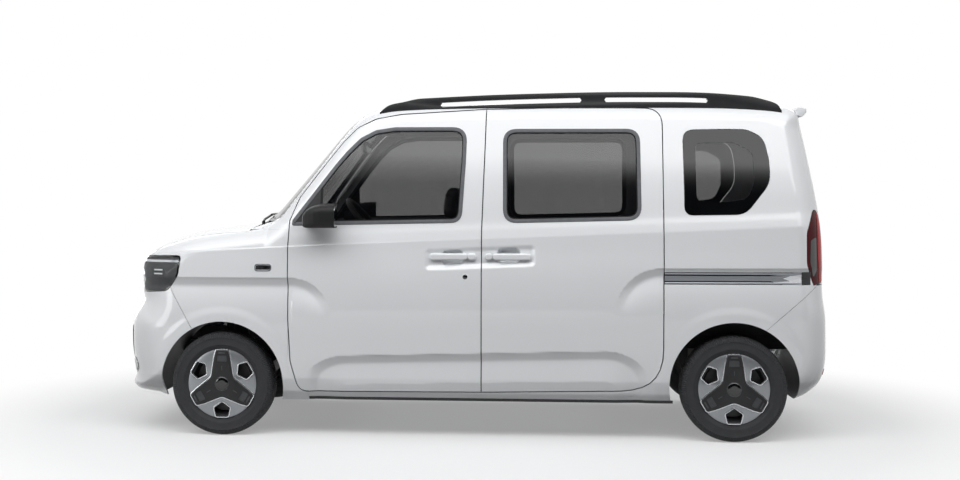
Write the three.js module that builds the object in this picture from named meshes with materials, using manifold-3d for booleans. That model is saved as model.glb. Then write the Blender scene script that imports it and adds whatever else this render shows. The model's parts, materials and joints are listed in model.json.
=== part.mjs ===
// A small electric micro van: a one-box five-door body with two hinged front doors, two sliding rear doors,
// a bonnet and a top-hinged tailgate, standing on four 13-inch wheels.
// Millimetres. +X is forward, +Y is the car's left, +Z is up; the origin is on the ground below the middle.
import * as THREE from "three";
import { mergeVertices } from "three/addons/utils/BufferGeometryUtils.js";
import Module from "manifold-3d";

const wasm = await Module();
wasm.setup();

// ---------------------------------------------------------------- driving dimensions
const WHEELBASE = 2600;
const FRONT_OVERHANG = 575;
const REAR_OVERHANG = 510;
const WIDTH = 1530;
const ROOF_HEIGHT = 1736;
const WHEEL_INSET = 110; // a wheel's middle plane, in from the body's widest line
const DOOR_GAP = 7; // shut line around a door, the bonnet or the tailgate
const SEAT_GAP = 0.3; // clearance of a piece that is seated on its neighbour

const HALF_LENGTH = (WHEELBASE + FRONT_OVERHANG + REAR_OVERHANG) / 2;
const HALF_WIDTH = WIDTH / 2;
const FLOOR = 326; // underside of the cabin floor

// Wheels: 155/65 R13 tyres on steel rims with a full cover.
const TYRE_RADIUS = 266;
const TYRE_WIDTH = 155;
const ARCH_RADIUS = 322;
const ARCH_SIDES = 30;
const ARCH_LIFT_REAR = 14; // the rear arch sits this much higher over its wheel

// ---------------------------------------------------------------- drawing stations
// Every place below is drawn on a base car, and carried from there to the sizes above. What lies round an axle, along
// a side or under the belt line keeps its shape. Nose, doors, tail, middle and glasshouse take up the change.
// Rows: drawn, built.
const BUILT_FRONT = HALF_LENGTH - FRONT_OVERHANG;
const BUILT_REAR = REAR_OVERHANG - HALF_LENGTH;
const STATIONS = [
  [-1842.5, -HALF_LENGTH], [-1662.5, BUILT_REAR - 330], [-1002.5, BUILT_REAR + 330],
  [937.5, BUILT_FRONT - 330], [1597.5, BUILT_FRONT + 330], [1842.5, HALF_LENGTH],
];
const HALF_WIDTHS = [[0, 0], [330, HALF_WIDTH - 435], [765, HALF_WIDTH]];
const HEIGHTS = [[1100, 1100], [1690, ROOF_HEIGHT - 46], [1736, ROOF_HEIGHT]];
const [TAIL, , , , , NOSE] = STATIONS.map(([drawn]) => drawn);
const REAR_AXLE = (STATIONS[1][0] + STATIONS[2][0]) / 2;
const FRONT_AXLE = (STATIONS[3][0] + STATIONS[4][0]) / 2;
const SIDE = HALF_WIDTHS[2][0];
const ROOF = HEIGHTS[2][0];

// Carries a value through rows of [drawn, built] that rise together, and runs on level beyond them.
const carried = (rows) => (value) => {
  const next = rows.findIndex(([drawn]) => drawn > value);
  const i = next < 0 ? rows.length - 1 : Math.max(next, 1);
  const [[a, builtA], [b, builtB]] = [rows[i - 1], rows[i]];
  if (value < a) return value + builtA - a;
  if (value > b) return value + builtB - b;
  return builtA + ((value - a) * (builtB - builtA)) / (b - a);
};
const turnedRound = (rows) => rows.map(([drawn, built]) => [built, drawn]);
const atX = carried(STATIONS);
const atY = (y) => Math.sign(y) * carried(HALF_WIDTHS)(Math.abs(y));
const atZ = carried(HEIGHTS);
const drawnX = carried(turnedRound(STATIONS));
const drawnZ = carried(turnedRound(HEIGHTS));
const placed = ([x, y, z]) => [atX(x), atY(y), atZ(z)];

// ---------------------------------------------------------------- small tools
const clamp01 = (t) => Math.min(1, Math.max(0, t));
const smooth = (value, from, to) => {
  const t = clamp01((value - from) / (to - from));
  return t * t * (3 - 2 * t);
};

// A closed manifold solid of a geometry, whichever way its faces were wound.
function solid(geometry) {
  const plain = geometry.index ? geometry.toNonIndexed() : geometry.clone();
  const bare = new THREE.BufferGeometry().setAttribute("position", plain.getAttribute("position"));
  const merged = mergeVertices(bare, 1e-3);
  const vertProperties = merged.attributes.position.array;
  const triVerts = new Uint32Array(merged.index.array);
  const made = new wasm.Manifold(new wasm.Mesh({ numProp: 3, vertProperties, triVerts }));
  if (made.volume() > 0) return made;
  for (let i = 0; i < triVerts.length; i += 3) {
    [triVerts[i + 1], triVerts[i + 2]] = [triVerts[i + 2], triVerts[i + 1]];
  }
  return new wasm.Manifold(new wasm.Mesh({ numProp: 3, vertProperties, triVerts }));
}

function geometryOf(made) {
  const mesh = made.getMesh();
  const positions = new Float32Array(mesh.numVert * 3);
  for (let i = 0; i < mesh.numVert; i++) {
    positions.set(mesh.vertProperties.subarray(i * mesh.numProp, i * mesh.numProp + 3), i * 3);
  }
  const geometry = new THREE.BufferGeometry();
  geometry.setAttribute("position", new THREE.BufferAttribute(positions, 3));
  geometry.setIndex(new THREE.BufferAttribute(new Uint32Array(mesh.triVerts), 1));
  return geometry;
}

const join = (...solids) => solids.reduce((a, b) => a.add(b));
const cut = (body, ...tools) => tools.reduce((a, b) => a.subtract(b), body);

// The largest connected body of a solid: a cut can leave slivers that no real panel has.
function mainBody(made) {
  return made.decompose().reduce((a, b) => (b.volume() > a.volume() ? b : a));
}

// The body of a solid that reaches furthest out to the left.
function outermost(made) {
  return made.decompose().reduce((a, b) => (b.boundingBox().max[1] > a.boundingBox().max[1] ? b : a));
}

function box(x0, x1, y0, y1, z0, z1) {
  const corners = new THREE.Box3().setFromPoints([placed([x0, y0, z0]), placed([x1, y1, z1])].map((p) => new THREE.Vector3(...p)));
  const size = corners.getSize(new THREE.Vector3());
  const middle = corners.getCenter(new THREE.Vector3());
  return solid(new THREE.BoxGeometry(size.x, size.y, size.z).translate(middle.x, middle.y, middle.z));
}

// Prisms of a closed outline: drawn in x-z and run along Y, drawn in y-z and run along X, or in x-y along Z.
function prism(points, from, to, place) {
  const shape = Array.isArray(points) ? new THREE.Shape(points.map(([a, b]) => new THREE.Vector2(a, b))) : points;
  const geometry = new THREE.ExtrudeGeometry(shape, { depth: to - from, bevelEnabled: false, curveSegments: 8 });
  const position = geometry.getAttribute("position");
  for (let i = 0; i < position.count; i++) {
    position.setXYZ(i, ...placed(place(position.getX(i), position.getY(i), position.getZ(i) + from)));
  }
  return solid(geometry);
}
const alongY = (points, from, to) => prism(points, from, to, (u, v, w) => [u, w, v]);
const alongX = (points, from, to) => prism(points, from, to, (u, v, w) => [w, u, v]);
const alongZ = (points, from, to) => prism(points, from, to, (u, v, w) => [u, v, w]);

// A body of revolution about a line parallel to Y. The profile's points are [radius, y].
function turnedY(profile, x, z, segments) {
  const geometry = new THREE.LatheGeometry(profile.map(([r, y]) => new THREE.Vector2(r, atY(y))), segments);
  return solid(geometry.translate(atX(x), 0, atZ(z)));
}

function rod(from, to, radius, sides = 12) {
  const a = new THREE.Vector3(...placed(from));
  const b = new THREE.Vector3(...placed(to));
  const geometry = new THREE.CylinderGeometry(radius, radius, a.distanceTo(b), sides);
  const turn = new THREE.Quaternion().setFromUnitVectors(new THREE.Vector3(0, 1, 0), b.clone().sub(a).normalize());
  const middle = a.clone().add(b).multiplyScalar(0.5);
  return solid(geometry.applyQuaternion(turn).translate(middle.x, middle.y, middle.z));
}

// An outline with its corners rounded by arcs. Each point is [a, b, radius].
function rounded(points, steps = 5) {
  const out = [];
  points.forEach(([a, b, radius], i) => {
    const before = points[(i + points.length - 1) % points.length];
    const after = points[(i + 1) % points.length];
    const here = new THREE.Vector2(a, b);
    const back = new THREE.Vector2(before[0], before[1]).sub(here);
    const on = new THREE.Vector2(after[0], after[1]).sub(here);
    const angle = Math.abs(back.angle() - on.angle());
    const turn = Math.min(angle, 2 * Math.PI - angle) / 2;
    const reach = Math.min(radius / Math.tan(turn), 0.49 * back.length(), 0.49 * on.length());
    if (!radius) {
      out.push([a, b]);
      return;
    }
    const start = here.clone().add(back.setLength(reach));
    const end = here.clone().add(on.setLength(reach));
    const bend = new THREE.QuadraticBezierCurve(start, here, end);
    bend.getPoints(steps).forEach((p) => out.push([p.x, p.y]));
  });
  return out;
}

// The outline moved outwards by a distance, or inwards if it is negative.
function offset(points, distance) {
  const area = points.reduce((sum, [a, b], i) => {
    const [c, d] = points[(i + 1) % points.length];
    return sum + a * d - b * c;
  }, 0);
  const side = area > 0 ? 1 : -1;
  return points.map(([a, b], i) => {
    const [pa, pb] = points[(i + points.length - 1) % points.length];
    const [na, nb] = points[(i + 1) % points.length];
    const first = new THREE.Vector2(b - pb, pa - a).normalize();
    const second = new THREE.Vector2(nb - b, a - na).normalize();
    const normal = first.add(second);
    const length = Math.max(0.5, normal.lengthSq() / 2);
    return [a + (side * distance * normal.x) / length, b + (side * distance * normal.y) / length];
  });
}

// A smooth function through a table of [input, output] rows, with no overshoot at the ends.
function through(table) {
  return (t) => {
    if (t <= table[0][0]) return table[0][1];
    const last = table.length - 1;
    if (t >= table[last][0]) return table[last][1];
    const i = table.findIndex(([a]) => a > t) - 1;
    const slope = (k) => {
      if (k <= 0) return (table[1][1] - table[0][1]) / (table[1][0] - table[0][0]);
      if (k >= last) return (table[last][1] - table[last - 1][1]) / (table[last][0] - table[last - 1][0]);
      return (table[k + 1][1] - table[k - 1][1]) / (table[k + 1][0] - table[k - 1][0]);
    };
    const span = table[i + 1][0] - table[i][0];
    const s = (t - table[i][0]) / span;
    const h00 = 2 * s ** 3 - 3 * s ** 2 + 1;
    const h10 = s ** 3 - 2 * s ** 2 + s;
    const h01 = 3 * s ** 2 - 2 * s ** 3;
    const h11 = s ** 3 - s ** 2;
    return h00 * table[i][1] + h10 * span * slope(i) + h01 * table[i + 1][1] + h11 * span * slope(i + 1);
  };
}

// ---------------------------------------------------------------- the body's surface
const SILL_HEIGHT = 187;
const SILL_FOOT = SILL_HEIGHT + 3; // level underside of the sill
const UNDERSIDE = -300; // the skin has no underside: its sides run down past the ground

// Centreline outline. Columns: distance behind the nose, height.
const NOSE_LINE = [
  [150, 190], [40, 208], [4, 240], [1, 256], [16, 300], [6, 380], [0, 450], [0, 545], [14, 610], [44, 662],
  [52, 700], [46, 760], [46, 850], [60, 905], [92, 942], [140, 972], [207, 1004], [350, 1044], [560, 1074], [690, 1088],
];
// Columns: distance behind the nose, height. The windscreen and the front of the roof.
const SCREEN_LINE = [[780, 1160], [960, 1372], [1120, 1560], [1200, 1636], [1290, 1688], [1420, 1718], [1640, 1731], [1900, ROOF]];
// Columns: distance ahead of the tail, height. The rear of the roof and the rear face.
const TAIL_LINE = [
  [1150, ROOF], [700, 1732], [400, 1724], [220, 1714], [168, 1702], [136, 1672], [120, 1610], [80, 1420], [40, 1210],
  [22, 1060], [18, 900], [16, 740], [3, 640], [0, 560], [2, 400], [30, 300], [90, 240], [160, 205], [240, 190],
];

const OUTLINE = (() => {
  const path = new THREE.Path();
  const nose = NOSE_LINE.map(([d, z]) => new THREE.Vector2(atX(NOSE - d), atZ(z)));
  const screen = SCREEN_LINE.map(([d, z]) => new THREE.Vector2(atX(NOSE - d), atZ(z)));
  const tail = TAIL_LINE.map(([d, z]) => new THREE.Vector2(atX(TAIL + d), atZ(z)));
  path.moveTo(nose[0].x, UNDERSIDE);
  path.lineTo(nose[0].x, nose[0].y);
  path.splineThru(nose.slice(1));
  path.lineTo(screen[0].x, screen[0].y);
  path.splineThru(screen.slice(1));
  path.lineTo(tail[0].x, tail[0].y);
  path.splineThru(tail.slice(1));
  path.lineTo(tail[tail.length - 1].x, UNDERSIDE);
  return path.getPoints(5);
})();

// Signed distance to the centreline outline in the x-z plane: negative inside.
function outlineDistance(x, z) {
  let nearest = Infinity;
  let inside = false;
  for (let i = 0, j = OUTLINE.length - 1; i < OUTLINE.length; j = i++) {
    const a = OUTLINE[j];
    const b = OUTLINE[i];
    const dx = b.x - a.x;
    const dz = b.y - a.y;
    const t = clamp01(((x - a.x) * dx + (z - a.y) * dz) / (dx * dx + dz * dz || 1));
    const ex = x - a.x - t * dx;
    const ez = z - a.y - t * dz;
    nearest = Math.min(nearest, ex * ex + ez * ez);
    if (a.y > z !== b.y > z && x < a.x + ((z - a.y) / dz) * dx) inside = !inside;
  }
  return (inside ? -1 : 1) * Math.sqrt(nearest);
}

// Shoulder crease along the body side, rising to the rear.
const CREASE_AT = 343;
const CREASE_HEIGHT = 1000;
const CREASE_SLOPE = 0.04;
function creaseHeight(x) {
  const ahead = Math.max(0, x - CREASE_AT);
  return CREASE_HEIGHT - CREASE_SLOPE * (x - CREASE_AT) - 1e-5 * ahead * ahead;
}

// Body side below the crease. Columns: height, inset from the widest line.
const LOWER_SIDE = through([
  [SILL_HEIGHT, 62], [236, 36], [301, 16], [440, 12], [620, 9], [760, 12], [870, 16], [960, 20], [1080, 26],
]);
// Body side above the crease. Columns: share of the way from the crease to the roof rail, inset.
const UPPER_SIDE = through([[0, 21], [0.06, 31], [0.13, 44], [0.3, 62], [0.5, 86], [0.78, 126], [1, 160], [1.2, 196]]);
const RAIL_LINE = 1675; // height at which the side section ends and the roof edge begins

// The fender crease and the matching one over the rear wheel: a level line that drops in a quarter ellipse.
const FENDER_LINE = { height: 815, bendAt: 900, alongBend: 205, dropBend: 215, towards: 1 };
const REAR_LINE = { height: 872, bendAt: -970, alongBend: 235, dropBend: 250, towards: -1 };
const LINE_DEPTH = 13;
const LINE_WIDTH = 38;
function lineRelief(x, z, line) {
  const past = (line.bendAt - x) * line.towards;
  const low = line.height - line.dropBend;
  let inside = line.height - z;
  let strength = 1;
  if (past > 0) {
    inside = (1 - Math.hypot(past / line.alongBend, Math.max(0, z - low) / line.dropBend)) * line.dropBend;
    strength = smooth(z, low, low + 0.75 * line.dropBend);
  }
  if (inside <= 0) return 0;
  const t = inside / LINE_WIDTH;
  return -LINE_DEPTH * strength * t * Math.exp(1 - t);
}

// The long scallop low on the doors.
const SCALLOP = { front: 610, rear: -690, reach: 235, foot: 262, frontTop: 422, rearTop: 456 };
const SCALLOP_DEPTH = 15;
function scallopRelief(x, z) {
  const share = clamp01((SCALLOP.front - x) / (SCALLOP.front - SCALLOP.rear));
  const top = SCALLOP.frontTop + share * (SCALLOP.rearTop - SCALLOP.frontTop);
  const past = Math.max(0, x - SCALLOP.front, SCALLOP.rear - x);
  const inside = (1 - Math.hypot(past / SCALLOP.reach, Math.max(0, z - SCALLOP.foot) / (top - SCALLOP.foot))) *
    (top - SCALLOP.foot);
  if (inside <= 0) return 0;
  const t = inside / LINE_WIDTH;
  return -SCALLOP_DEPTH * t * Math.exp(1 - t) * (1 - smooth(past, 0.6 * SCALLOP.reach, SCALLOP.reach));
}

const ARCHES = [
  { x: FRONT_AXLE, z: TYRE_RADIUS },
  { x: REAR_AXLE, z: TYRE_RADIUS + ARCH_LIFT_REAR },
];
// Half width of the body side before its edges are rounded over.
function halfWidth(x, z) {
  const crease = creaseHeight(x);
  const inset = z < crease ? Math.min(LOWER_SIDE(z), 21) * (z > 620 ? 1 : 0) + (z > 620 ? 0 : LOWER_SIDE(z))
    : UPPER_SIDE((z - crease) / (RAIL_LINE - crease));
  const taperFront = 42 * (Math.max(0, x - 900) / 800) ** 2;
  const taperRear = 26 * (Math.max(0, -x - 1200) / 550) ** 2;
  const relief = lineRelief(x, z, FENDER_LINE) + lineRelief(x, z, REAR_LINE) + scallopRelief(x, z);
  return HALF_WIDTH - inset - taperFront - taperRear + relief;
}

// The body's section lines carry on across the car in arcs of these radii.
const BOW = { front: 2700, rear: 4600, roof: 5600, bonnet: 9000 };
// How far the front, screen and rear faces lie back, and the roof and bonnet fall, at a distance from the middle.
function bowed(x, y, z) {
  const front = smooth(x, 150, 800) / BOW.front;
  const rear = smooth(-x, 1300, 1700) / BOW.rear;
  const crown = smooth(z, 850, 960) / (x > 1050 ? BOW.bonnet : BOW.roof);
  return [(y * y * (front - rear)) / 2, (y * y * crown) / 2];
}

// Radius of the rounding between the side and the faces that meet it.
function edgeRadius(x, z) {
  const corner = smooth(x, 1300, 1600) * (1 - smooth(z, 860, 980));
  const tail = smooth(-x, 1450, 1650) * (1 - smooth(z, 1560, 1680));
  return 78 + 95 * corner + 45 * tail;
}

// The body as one implicit solid: negative inside, near the true distance close to the surface.
function bodyField(x, y, z) {
  const drawn = [drawnX(x), drawnZ(z)];
  const side = Math.abs(y) - halfWidth(...drawn);
  const [back, down] = bowed(drawn[0], y, drawn[1]);
  const face = outlineDistance(x + back, z + down);
  const radius = edgeRadius(...drawn);
  const a = side + radius;
  const b = face + radius;
  return a > 0 && b > 0 ? Math.hypot(a, b) - radius : Math.max(side, face);
}

// The point where a ray leaves the body skin, moved in by a depth.
function skinPoint(from, direction, depth, reach) {
  let near = 0;
  let far = reach;
  for (let i = 0; i < 24; i++) {
    const t = (near + far) / 2;
    const value = bodyField(from[0] + direction[0] * t, from[1] + direction[1] * t, from[2] + direction[2] * t);
    if (value < -depth) near = t;
    else far = t;
  }
  return from.map((c, k) => c + direction[k] * far);
}

// Everything between the feet of a grid of rays and the skin at a depth, as one closed solid.
const RAY_FOOT = 40;
const RAY_REACH = 2400; // longer than any ray inside the body
function filled(columns, rows, ray, depth, foot, spread = 0) {
  const top = columns.map((u) => rows.map((v) => {
    const { from, direction } = ray(u, v, depth);
    return skinPoint(from, direction, depth, RAY_REACH);
  }));
  const base = columns.map((u) => rows.map((v) => {
    const { from, direction } = ray(u, v, depth);
    return from.map((c, k) => c + direction[k] * foot);
  }));
  // The outermost rays can be carried on past their place, so that one solid reaches beyond another.
  const beyond = (a, b) => a.map((c, k) => c + spread * (c - b[k]));
  for (const grid of [top, base]) {
    const last = grid.length - 1;
    grid[0] = grid[0].map((p, j) => beyond(p, grid[1][j]));
    grid[last] = grid[last].map((p, j) => beyond(p, grid[last - 1][j]));
    for (const line of grid) {
      const end = line.length - 1;
      line[0] = beyond(line[0], line[1]);
      line[end] = beyond(line[end], line[end - 1]);
    }
  }
  const positions = [];
  const quad = (a, b, c, d) => positions.push(...a, ...b, ...c, ...a, ...c, ...d);
  const m = columns.length - 1;
  const n = rows.length - 1;
  for (let i = 0; i < m; i++) {
    for (let j = 0; j < n; j++) {
      quad(top[i][j], top[i + 1][j], top[i + 1][j + 1], top[i][j + 1]);
      quad(base[i][j], base[i][j + 1], base[i + 1][j + 1], base[i + 1][j]);
    }
    quad(top[i][0], base[i][0], base[i + 1][0], top[i + 1][0]);
    quad(top[i][n], top[i + 1][n], base[i + 1][n], base[i][n]);
  }
  for (let j = 0; j < n; j++) {
    quad(top[0][j], top[0][j + 1], base[0][j + 1], base[0][j]);
    quad(top[m][j], base[m][j], base[m][j + 1], top[m][j + 1]);
  }
  const geometry = new THREE.BufferGeometry();
  geometry.setAttribute("position", new THREE.BufferAttribute(new Float32Array(positions), 3));
  return solid(geometry);
}

// The skin between two depths. Inside, thick panels are pressed coarser, on the grid lines given for it.
const everySecond = (list) => list.filter((_, i) => i % 2 === 0 || i === list.length - 1);
function slab(columns, rows, ray, outer, inner, inside = [columns, everySecond(rows)]) {
  const hollow = filled(...inside, ray, inner, RAY_FOOT - 10, 0.1);
  return filled(columns, rows, ray, outer, RAY_FOOT).subtract(hollow);
}

const steps = (from, to, count) => Array.from({ length: count + 1 }, (_, i) => from + ((to - from) * i) / count);

// Rows of the side grid: heights below the crease, then shares of the way from the crease to the rail line.
const LOW_ROWS = [SILL_HEIGHT, 236, 301, 370, 440, 620, 740, 778, 815, 872].map((height) => ({ height }));
const HIGH_ROWS = [0, 0.08, 0.2, 0.6, 1, 1.05, 1.08].map((share) => ({ share }));
const SIDE_ROWS = [...LOW_ROWS, ...HIGH_ROWS];
const sideRow = (x, { height, share }) => height ?? creaseHeight(x) + share * (RAIL_LINE - creaseHeight(x));
// A ray through the side. Past the car's outline it is drawn back to the edge of the skin.
function sideRay(x, row, depth) {
  const place = [atX(x), atZ(sideRow(x, row))];
  for (let i = 0; i < 4; i++) {
    const drawn = [drawnX(place[0]), drawnZ(place[1])];
    const ridge = halfWidth(...drawn) - edgeRadius(...drawn);
    const face = (dx, dz) => {
      const [back, down] = bowed(drawnX(place[0] + dx), ridge, drawnZ(place[1] + dz));
      return outlineDistance(place[0] + dx + back, place[1] + dz + down);
    };
    const past = face(0, 0) + depth + 1;
    if (past <= 0) break;
    const slope = [(face(1, 0) - face(-1, 0)) / 2, (face(0, 1) - face(0, -1)) / 2];
    place[0] -= past * slope[0];
    place[1] -= past * slope[1];
  }
  return { from: [place[0], 0, place[1]], direction: [0, 1, 0] };
}
const topRay = (x, y) => ({ from: placed([x, y, 600]), direction: [0, 0, 1] });
const screenRay = (share, z) => ({ from: placed([200, share * (SCREEN_EDGE(z) + 8), z]), direction: [1, 0, 0] });
// Rays that fan out in a vertical plane from one line across the car, by angle above forward.
const fanRay = (x, z) => (y, angle) => ({ from: placed([x, y, z]), direction: [Math.cos(angle), 0, Math.sin(angle)] });
// Rays that fan out level from the centreline, by angle to the left of forward.
const turnRay = (x) => (angle, z) => ({ from: placed([x, 0, z]), direction: [Math.cos(angle), Math.sin(angle), 0] });
const DOOR_ROWS = SIDE_ROWS.slice(0, -1);
const FENDER_ROWS = [...LOW_ROWS, ...HIGH_ROWS.slice(0, 3)];
const WINDOW_ROWS = [0, 0.08, 0.3, 0.65, 1].map((share) => ({ share }));

// ---------------------------------------------------------------- panel outlines
const WALL = 40; // thickness of doors and body sides
const SKIN = 14; // thickness of fenders, bonnet and bumpers
const B_LINE = -66; // shut line between the front and the sliding door
const C_LINE = -982; // rear shut line of the sliding door
const DOOR_FOOT = 242;
const DOOR_HEAD = 1683;

// Front door, in x-z. Columns: x, z, corner radius.
const FRONT_DOOR = rounded([
  [B_LINE, DOOR_FOOT, 0], [862, 236, 60], [905, 390, 60], [917, 600, 80], [920, 960, 80], [915, 1105, 60],
  [868, 1225, 80], [735, 1403, 80], [600, 1562, 90], [480, 1642, 90], [250, 1664, 90], [-88, DOOR_HEAD - 5, 0],
  [-82, 1468, 0], [-68, 1060, 0],
], 2);
// Sliding door, in x-z. Columns: x, z, corner radius.
const SLIDING_DOOR = rounded([
  [B_LINE - DOOR_GAP, DOOR_FOOT, 0], [-68 - DOOR_GAP, 1060, 0], [-82 - DOOR_GAP, 1468, 0],
  [-88 - DOOR_GAP, DOOR_HEAD - 5, 0], [-480, DOOR_HEAD, 0],
  [C_LINE, DOOR_HEAD - 3, 90], [C_LINE, 900, 0], [C_LINE + 4, 260, 210],
], 4);
// Windows, in x-z, as the openings in the metal.
const FRONT_WINDOW = rounded([
  [748, 1078, 16], [748, 1312, 20], [690, 1392, 60], [570, 1530, 110], [450, 1586, 110], [12, 1586, 75],
  [14, 1400, 0], [33, 1098, 60],
], 3);
const SLIDING_WINDOW = rounded([
  [-180, 1096, 70], [-178, 1576, 70], [-870, 1574, 70], [-874, 1112, 70],
], 3);
const QUARTER_WINDOW = rounded([
  [-1088, 1134, 45], [-1084, 1570, 60], [-1300, 1572, 60], [-1490, 1545, 110], [-1520, 1290, 60], [-1392, 1138, 110],
], 3);
// Bonnet, in x-y. Its front edge bows back, and its sides widen to the cowl. Columns of the sides: x, half width.
const BONNET_FRONT = (y) => 1735 - 67 * (Math.abs(y) / 560) ** 3.5;
const BONNET_SIDE = [[1600, 600], [1512, 622], [1325, 648], [1136, 660]];
const BONNET_NOSE = [560, 480, 360, 180, 0].map((y) => [BONNET_FRONT(y), y]);
const BONNET_HALF = [...BONNET_SIDE.slice().reverse(), ...BONNET_NOSE];
const BONNET = [...BONNET_HALF, ...BONNET_HALF.slice(0, -1).reverse().map(([x, y]) => [x, -y])];
// Windscreen opening, in y-z.
const SCREEN_EDGE = (z) => 668 - ((z - 1102) * (668 - 560)) / (1652 - 1102); // half width of the opening
const SCREEN = rounded([[668, 1102, 40], [560, 1652, 90], [-560, 1652, 90], [-668, 1102, 40]], 3);
// Tailgate, in y-z, and its window.
const TAILGATE = rounded([[592, 632, 60], [590, 1150, 200], [520, 1700, 0], [520, 1800, 0], [-520, 1800, 0], [-520, 1700, 0],
  [-590, 1150, 200], [-592, 632, 60]], 3);
const TAILGATE_WINDOW = rounded([[500, 1120, 70], [455, 1560, 70], [-455, 1560, 70], [-500, 1120, 70]], 3);
// Lamps: what the corner skin keeps of a side outline (x-z) and an end outline (y-z).
const HEADLAMP_SIDE = rounded([[1900, 918, 0], [1484, 926, 22], [1500, 820, 60], [1560, 742, 60], [1900, 722, 0]], 3);
const HEADLAMP_END = rounded([[900, 935, 0], [392, 912, 40], [400, 735, 60], [900, 715, 0]], 3);
const TAILLAMP_SIDE = rounded([[-1900, 1180, 0], [-1730, 1165, 30], [-1692, 1050, 90], [-1690, 890, 90], [-1735, 766, 30], [-1900, 760, 0]], 3);
const TAILLAMP_END = rounded([[900, 1190, 0], [612, 1160, 30], [602, 800, 30], [900, 750, 0]], 2);
const BUMPER_SPLIT_FRONT = [[1548, 760], [1427, 554]]; // from the lamp to the arch
const BUMPER_SPLIT_REAR = [[-1734, 775], [-1502, 577]];

// ---------------------------------------------------------------- materials and the scene
const paint = (name, color, roughness, metalness) => {
  const made = new THREE.MeshStandardMaterial({ color, roughness, metalness });
  made.name = name;
  return made;
};
const MATERIALS = {
  body: paint("body_paint", 0xe9ebee, 0.3, 0.1),
  plastic: paint("black_plastic", 0x1c1d1f, 0.6, 0),
  glass: paint("glass", 0x2b2f33, 0.1, 0),
  lamp: paint("headlamp", 0x2a2c30, 0.2, 0),
  redLamp: paint("tail_lamp", 0x8a0f16, 0.25, 0),
  tyre: paint("tyre", 0x1d1e20, 0.85, 0),
  cover: paint("wheel_cover", 0x9fa3a8, 0.4, 0.7),
  steel: paint("steel", 0x55585c, 0.5, 0.8),
  rail: paint("alloy_rail", 0xa9adb2, 0.35, 0.8),
  cloth: paint("seat_cloth", 0x3a3c40, 0.9, 0),
  interior: paint("interior_plastic", 0x303236, 0.7, 0),
};

const car = new THREE.Group();
function add(name, made, material) {
  const mesh = new THREE.Mesh(geometryOf(mainBody(made)), material);
  mesh.name = name;
  car.add(mesh);
}
// A left piece and its mirror image on the right.
function addPair(name, made, material) {
  const geometry = geometryOf(mainBody(made));
  for (const [side, flip] of [["left", 1], ["right", -1]]) {
    const mesh = new THREE.Mesh(geometry, material);
    mesh.name = `${name}_${side}`;
    mesh.scale.y = flip;
    car.add(mesh);
  }
}

// ---------------------------------------------------------------- cutting tools shared by neighbours
const OUT = 1000; // farther out than any surface
const INNER_EDGE = 545; // doors and side windows lie outboard of this
const ROOF_JOINT = 520; // half width of the roof panel
const ROOF_SHEET = 26;
const LOAD_FLOOR = 520;
const SHEET = 10; // floor and bulkhead
const COWL_JOINT = 1060; // height where the fender ends under the windscreen pillar
const frontDoorCut = alongY(offset(FRONT_DOOR, DOOR_GAP), INNER_EDGE - DOOR_GAP, OUT);
const slidingDoorCut = alongY(offset(SLIDING_DOOR, DOOR_GAP), INNER_EDGE - DOOR_GAP, OUT);
const quarterWindowCut = alongY(QUARTER_WINDOW, INNER_EDGE, OUT);
const screenCut = alongX(SCREEN, 0, 1400);
const TAILGATE_AXIS = { x: -1662, z: 1712 };
const pillarClear = alongX(offset(SCREEN, 24), 300, 1400); // doors keep this far off the windscreen
const tailgateCut = alongX(offset(TAILGATE, DOOR_GAP), -2 * OUT, TAILGATE_AXIS.x + 1);
const bonnetCut = alongZ(offset(BONNET, DOOR_GAP), 600, 1300);
const archCut = ARCHES.map((arch) => turnedY([[0, 380], [ARCH_RADIUS, 380], [ARCH_RADIUS, OUT], [0, OUT]], arch.x, arch.z, ARCH_SIDES));
const lampCut = (side, end, gap, x0, x1) => alongY(offset(side, gap), 0, OUT).intersect(alongX(offset(end, gap), x0, x1));
const headlampCut = lampCut(HEADLAMP_SIDE, HEADLAMP_END, SEAT_GAP, 1400, 1900);
const taillampCut = lampCut(TAILLAMP_SIDE, TAILLAMP_END, SEAT_GAP, -1900, -1600);
// What lies past a bumper's split line, towards the car's end.
function bumperSide(split, top, end, gap) {
  const [[xa, za], [xb, zb]] = split;
  const at = (z) => xb + ((z - zb) * (xa - xb)) / (za - zb) + gap;
  return alongY([[at(top), top], [end, top], [end, 100], [at(100), 100]], -OUT, OUT);
}
const flipped = (made) => made.mirror([0, 1, 0]);

// ---------------------------------------------------------------- body panels
const TRACK_SLOT = { low: 790, high: 852, rear: -1694, floor: 716 };

// Door hinges: a strap from the pillar to a pin inside the door's front edge.
const HINGE = { x: 880, y: 744, heights: [480, 660], half: 32, pin: 6, strap: 6, inner: 676, skin: 752 };
const hingeStrap = (z) => join(
  box(HINGE.x - HINGE.strap, HINGE.x + HINGE.strap, HINGE.inner, HINGE.y, z - 22, z + 22),
  rod([HINGE.x, HINGE.y, z - HINGE.half + SEAT_GAP], [HINGE.x, HINGE.y, z + HINGE.half - SEAT_GAP], HINGE.pin, 10));
const hingePocket = (z) => box(HINGE.x - 22, 940, 690, HINGE.skin, z - HINGE.half, z + HINGE.half);

// Wheelhouse inside the rear arch: a cap let into the load floor.
const HOUSE = { wall: 12, inner: 518, outer: 706 };
function wheelhouse() {
  const rear = ARCHES[1];
  const shell = (radius, from, to) => turnedY([[0, from], [radius, from], [radius, to], [0, to]], rear.x, rear.z, ARCH_SIDES);
  return shell(ARCH_RADIUS + HOUSE.wall, HOUSE.inner, HOUSE.outer)
    .subtract(shell(ARCH_RADIUS, HOUSE.inner + 10, OUT))
    .intersect(box(-1800, -900, 0, OUT, LOAD_FLOOR, 700));
}

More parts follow.
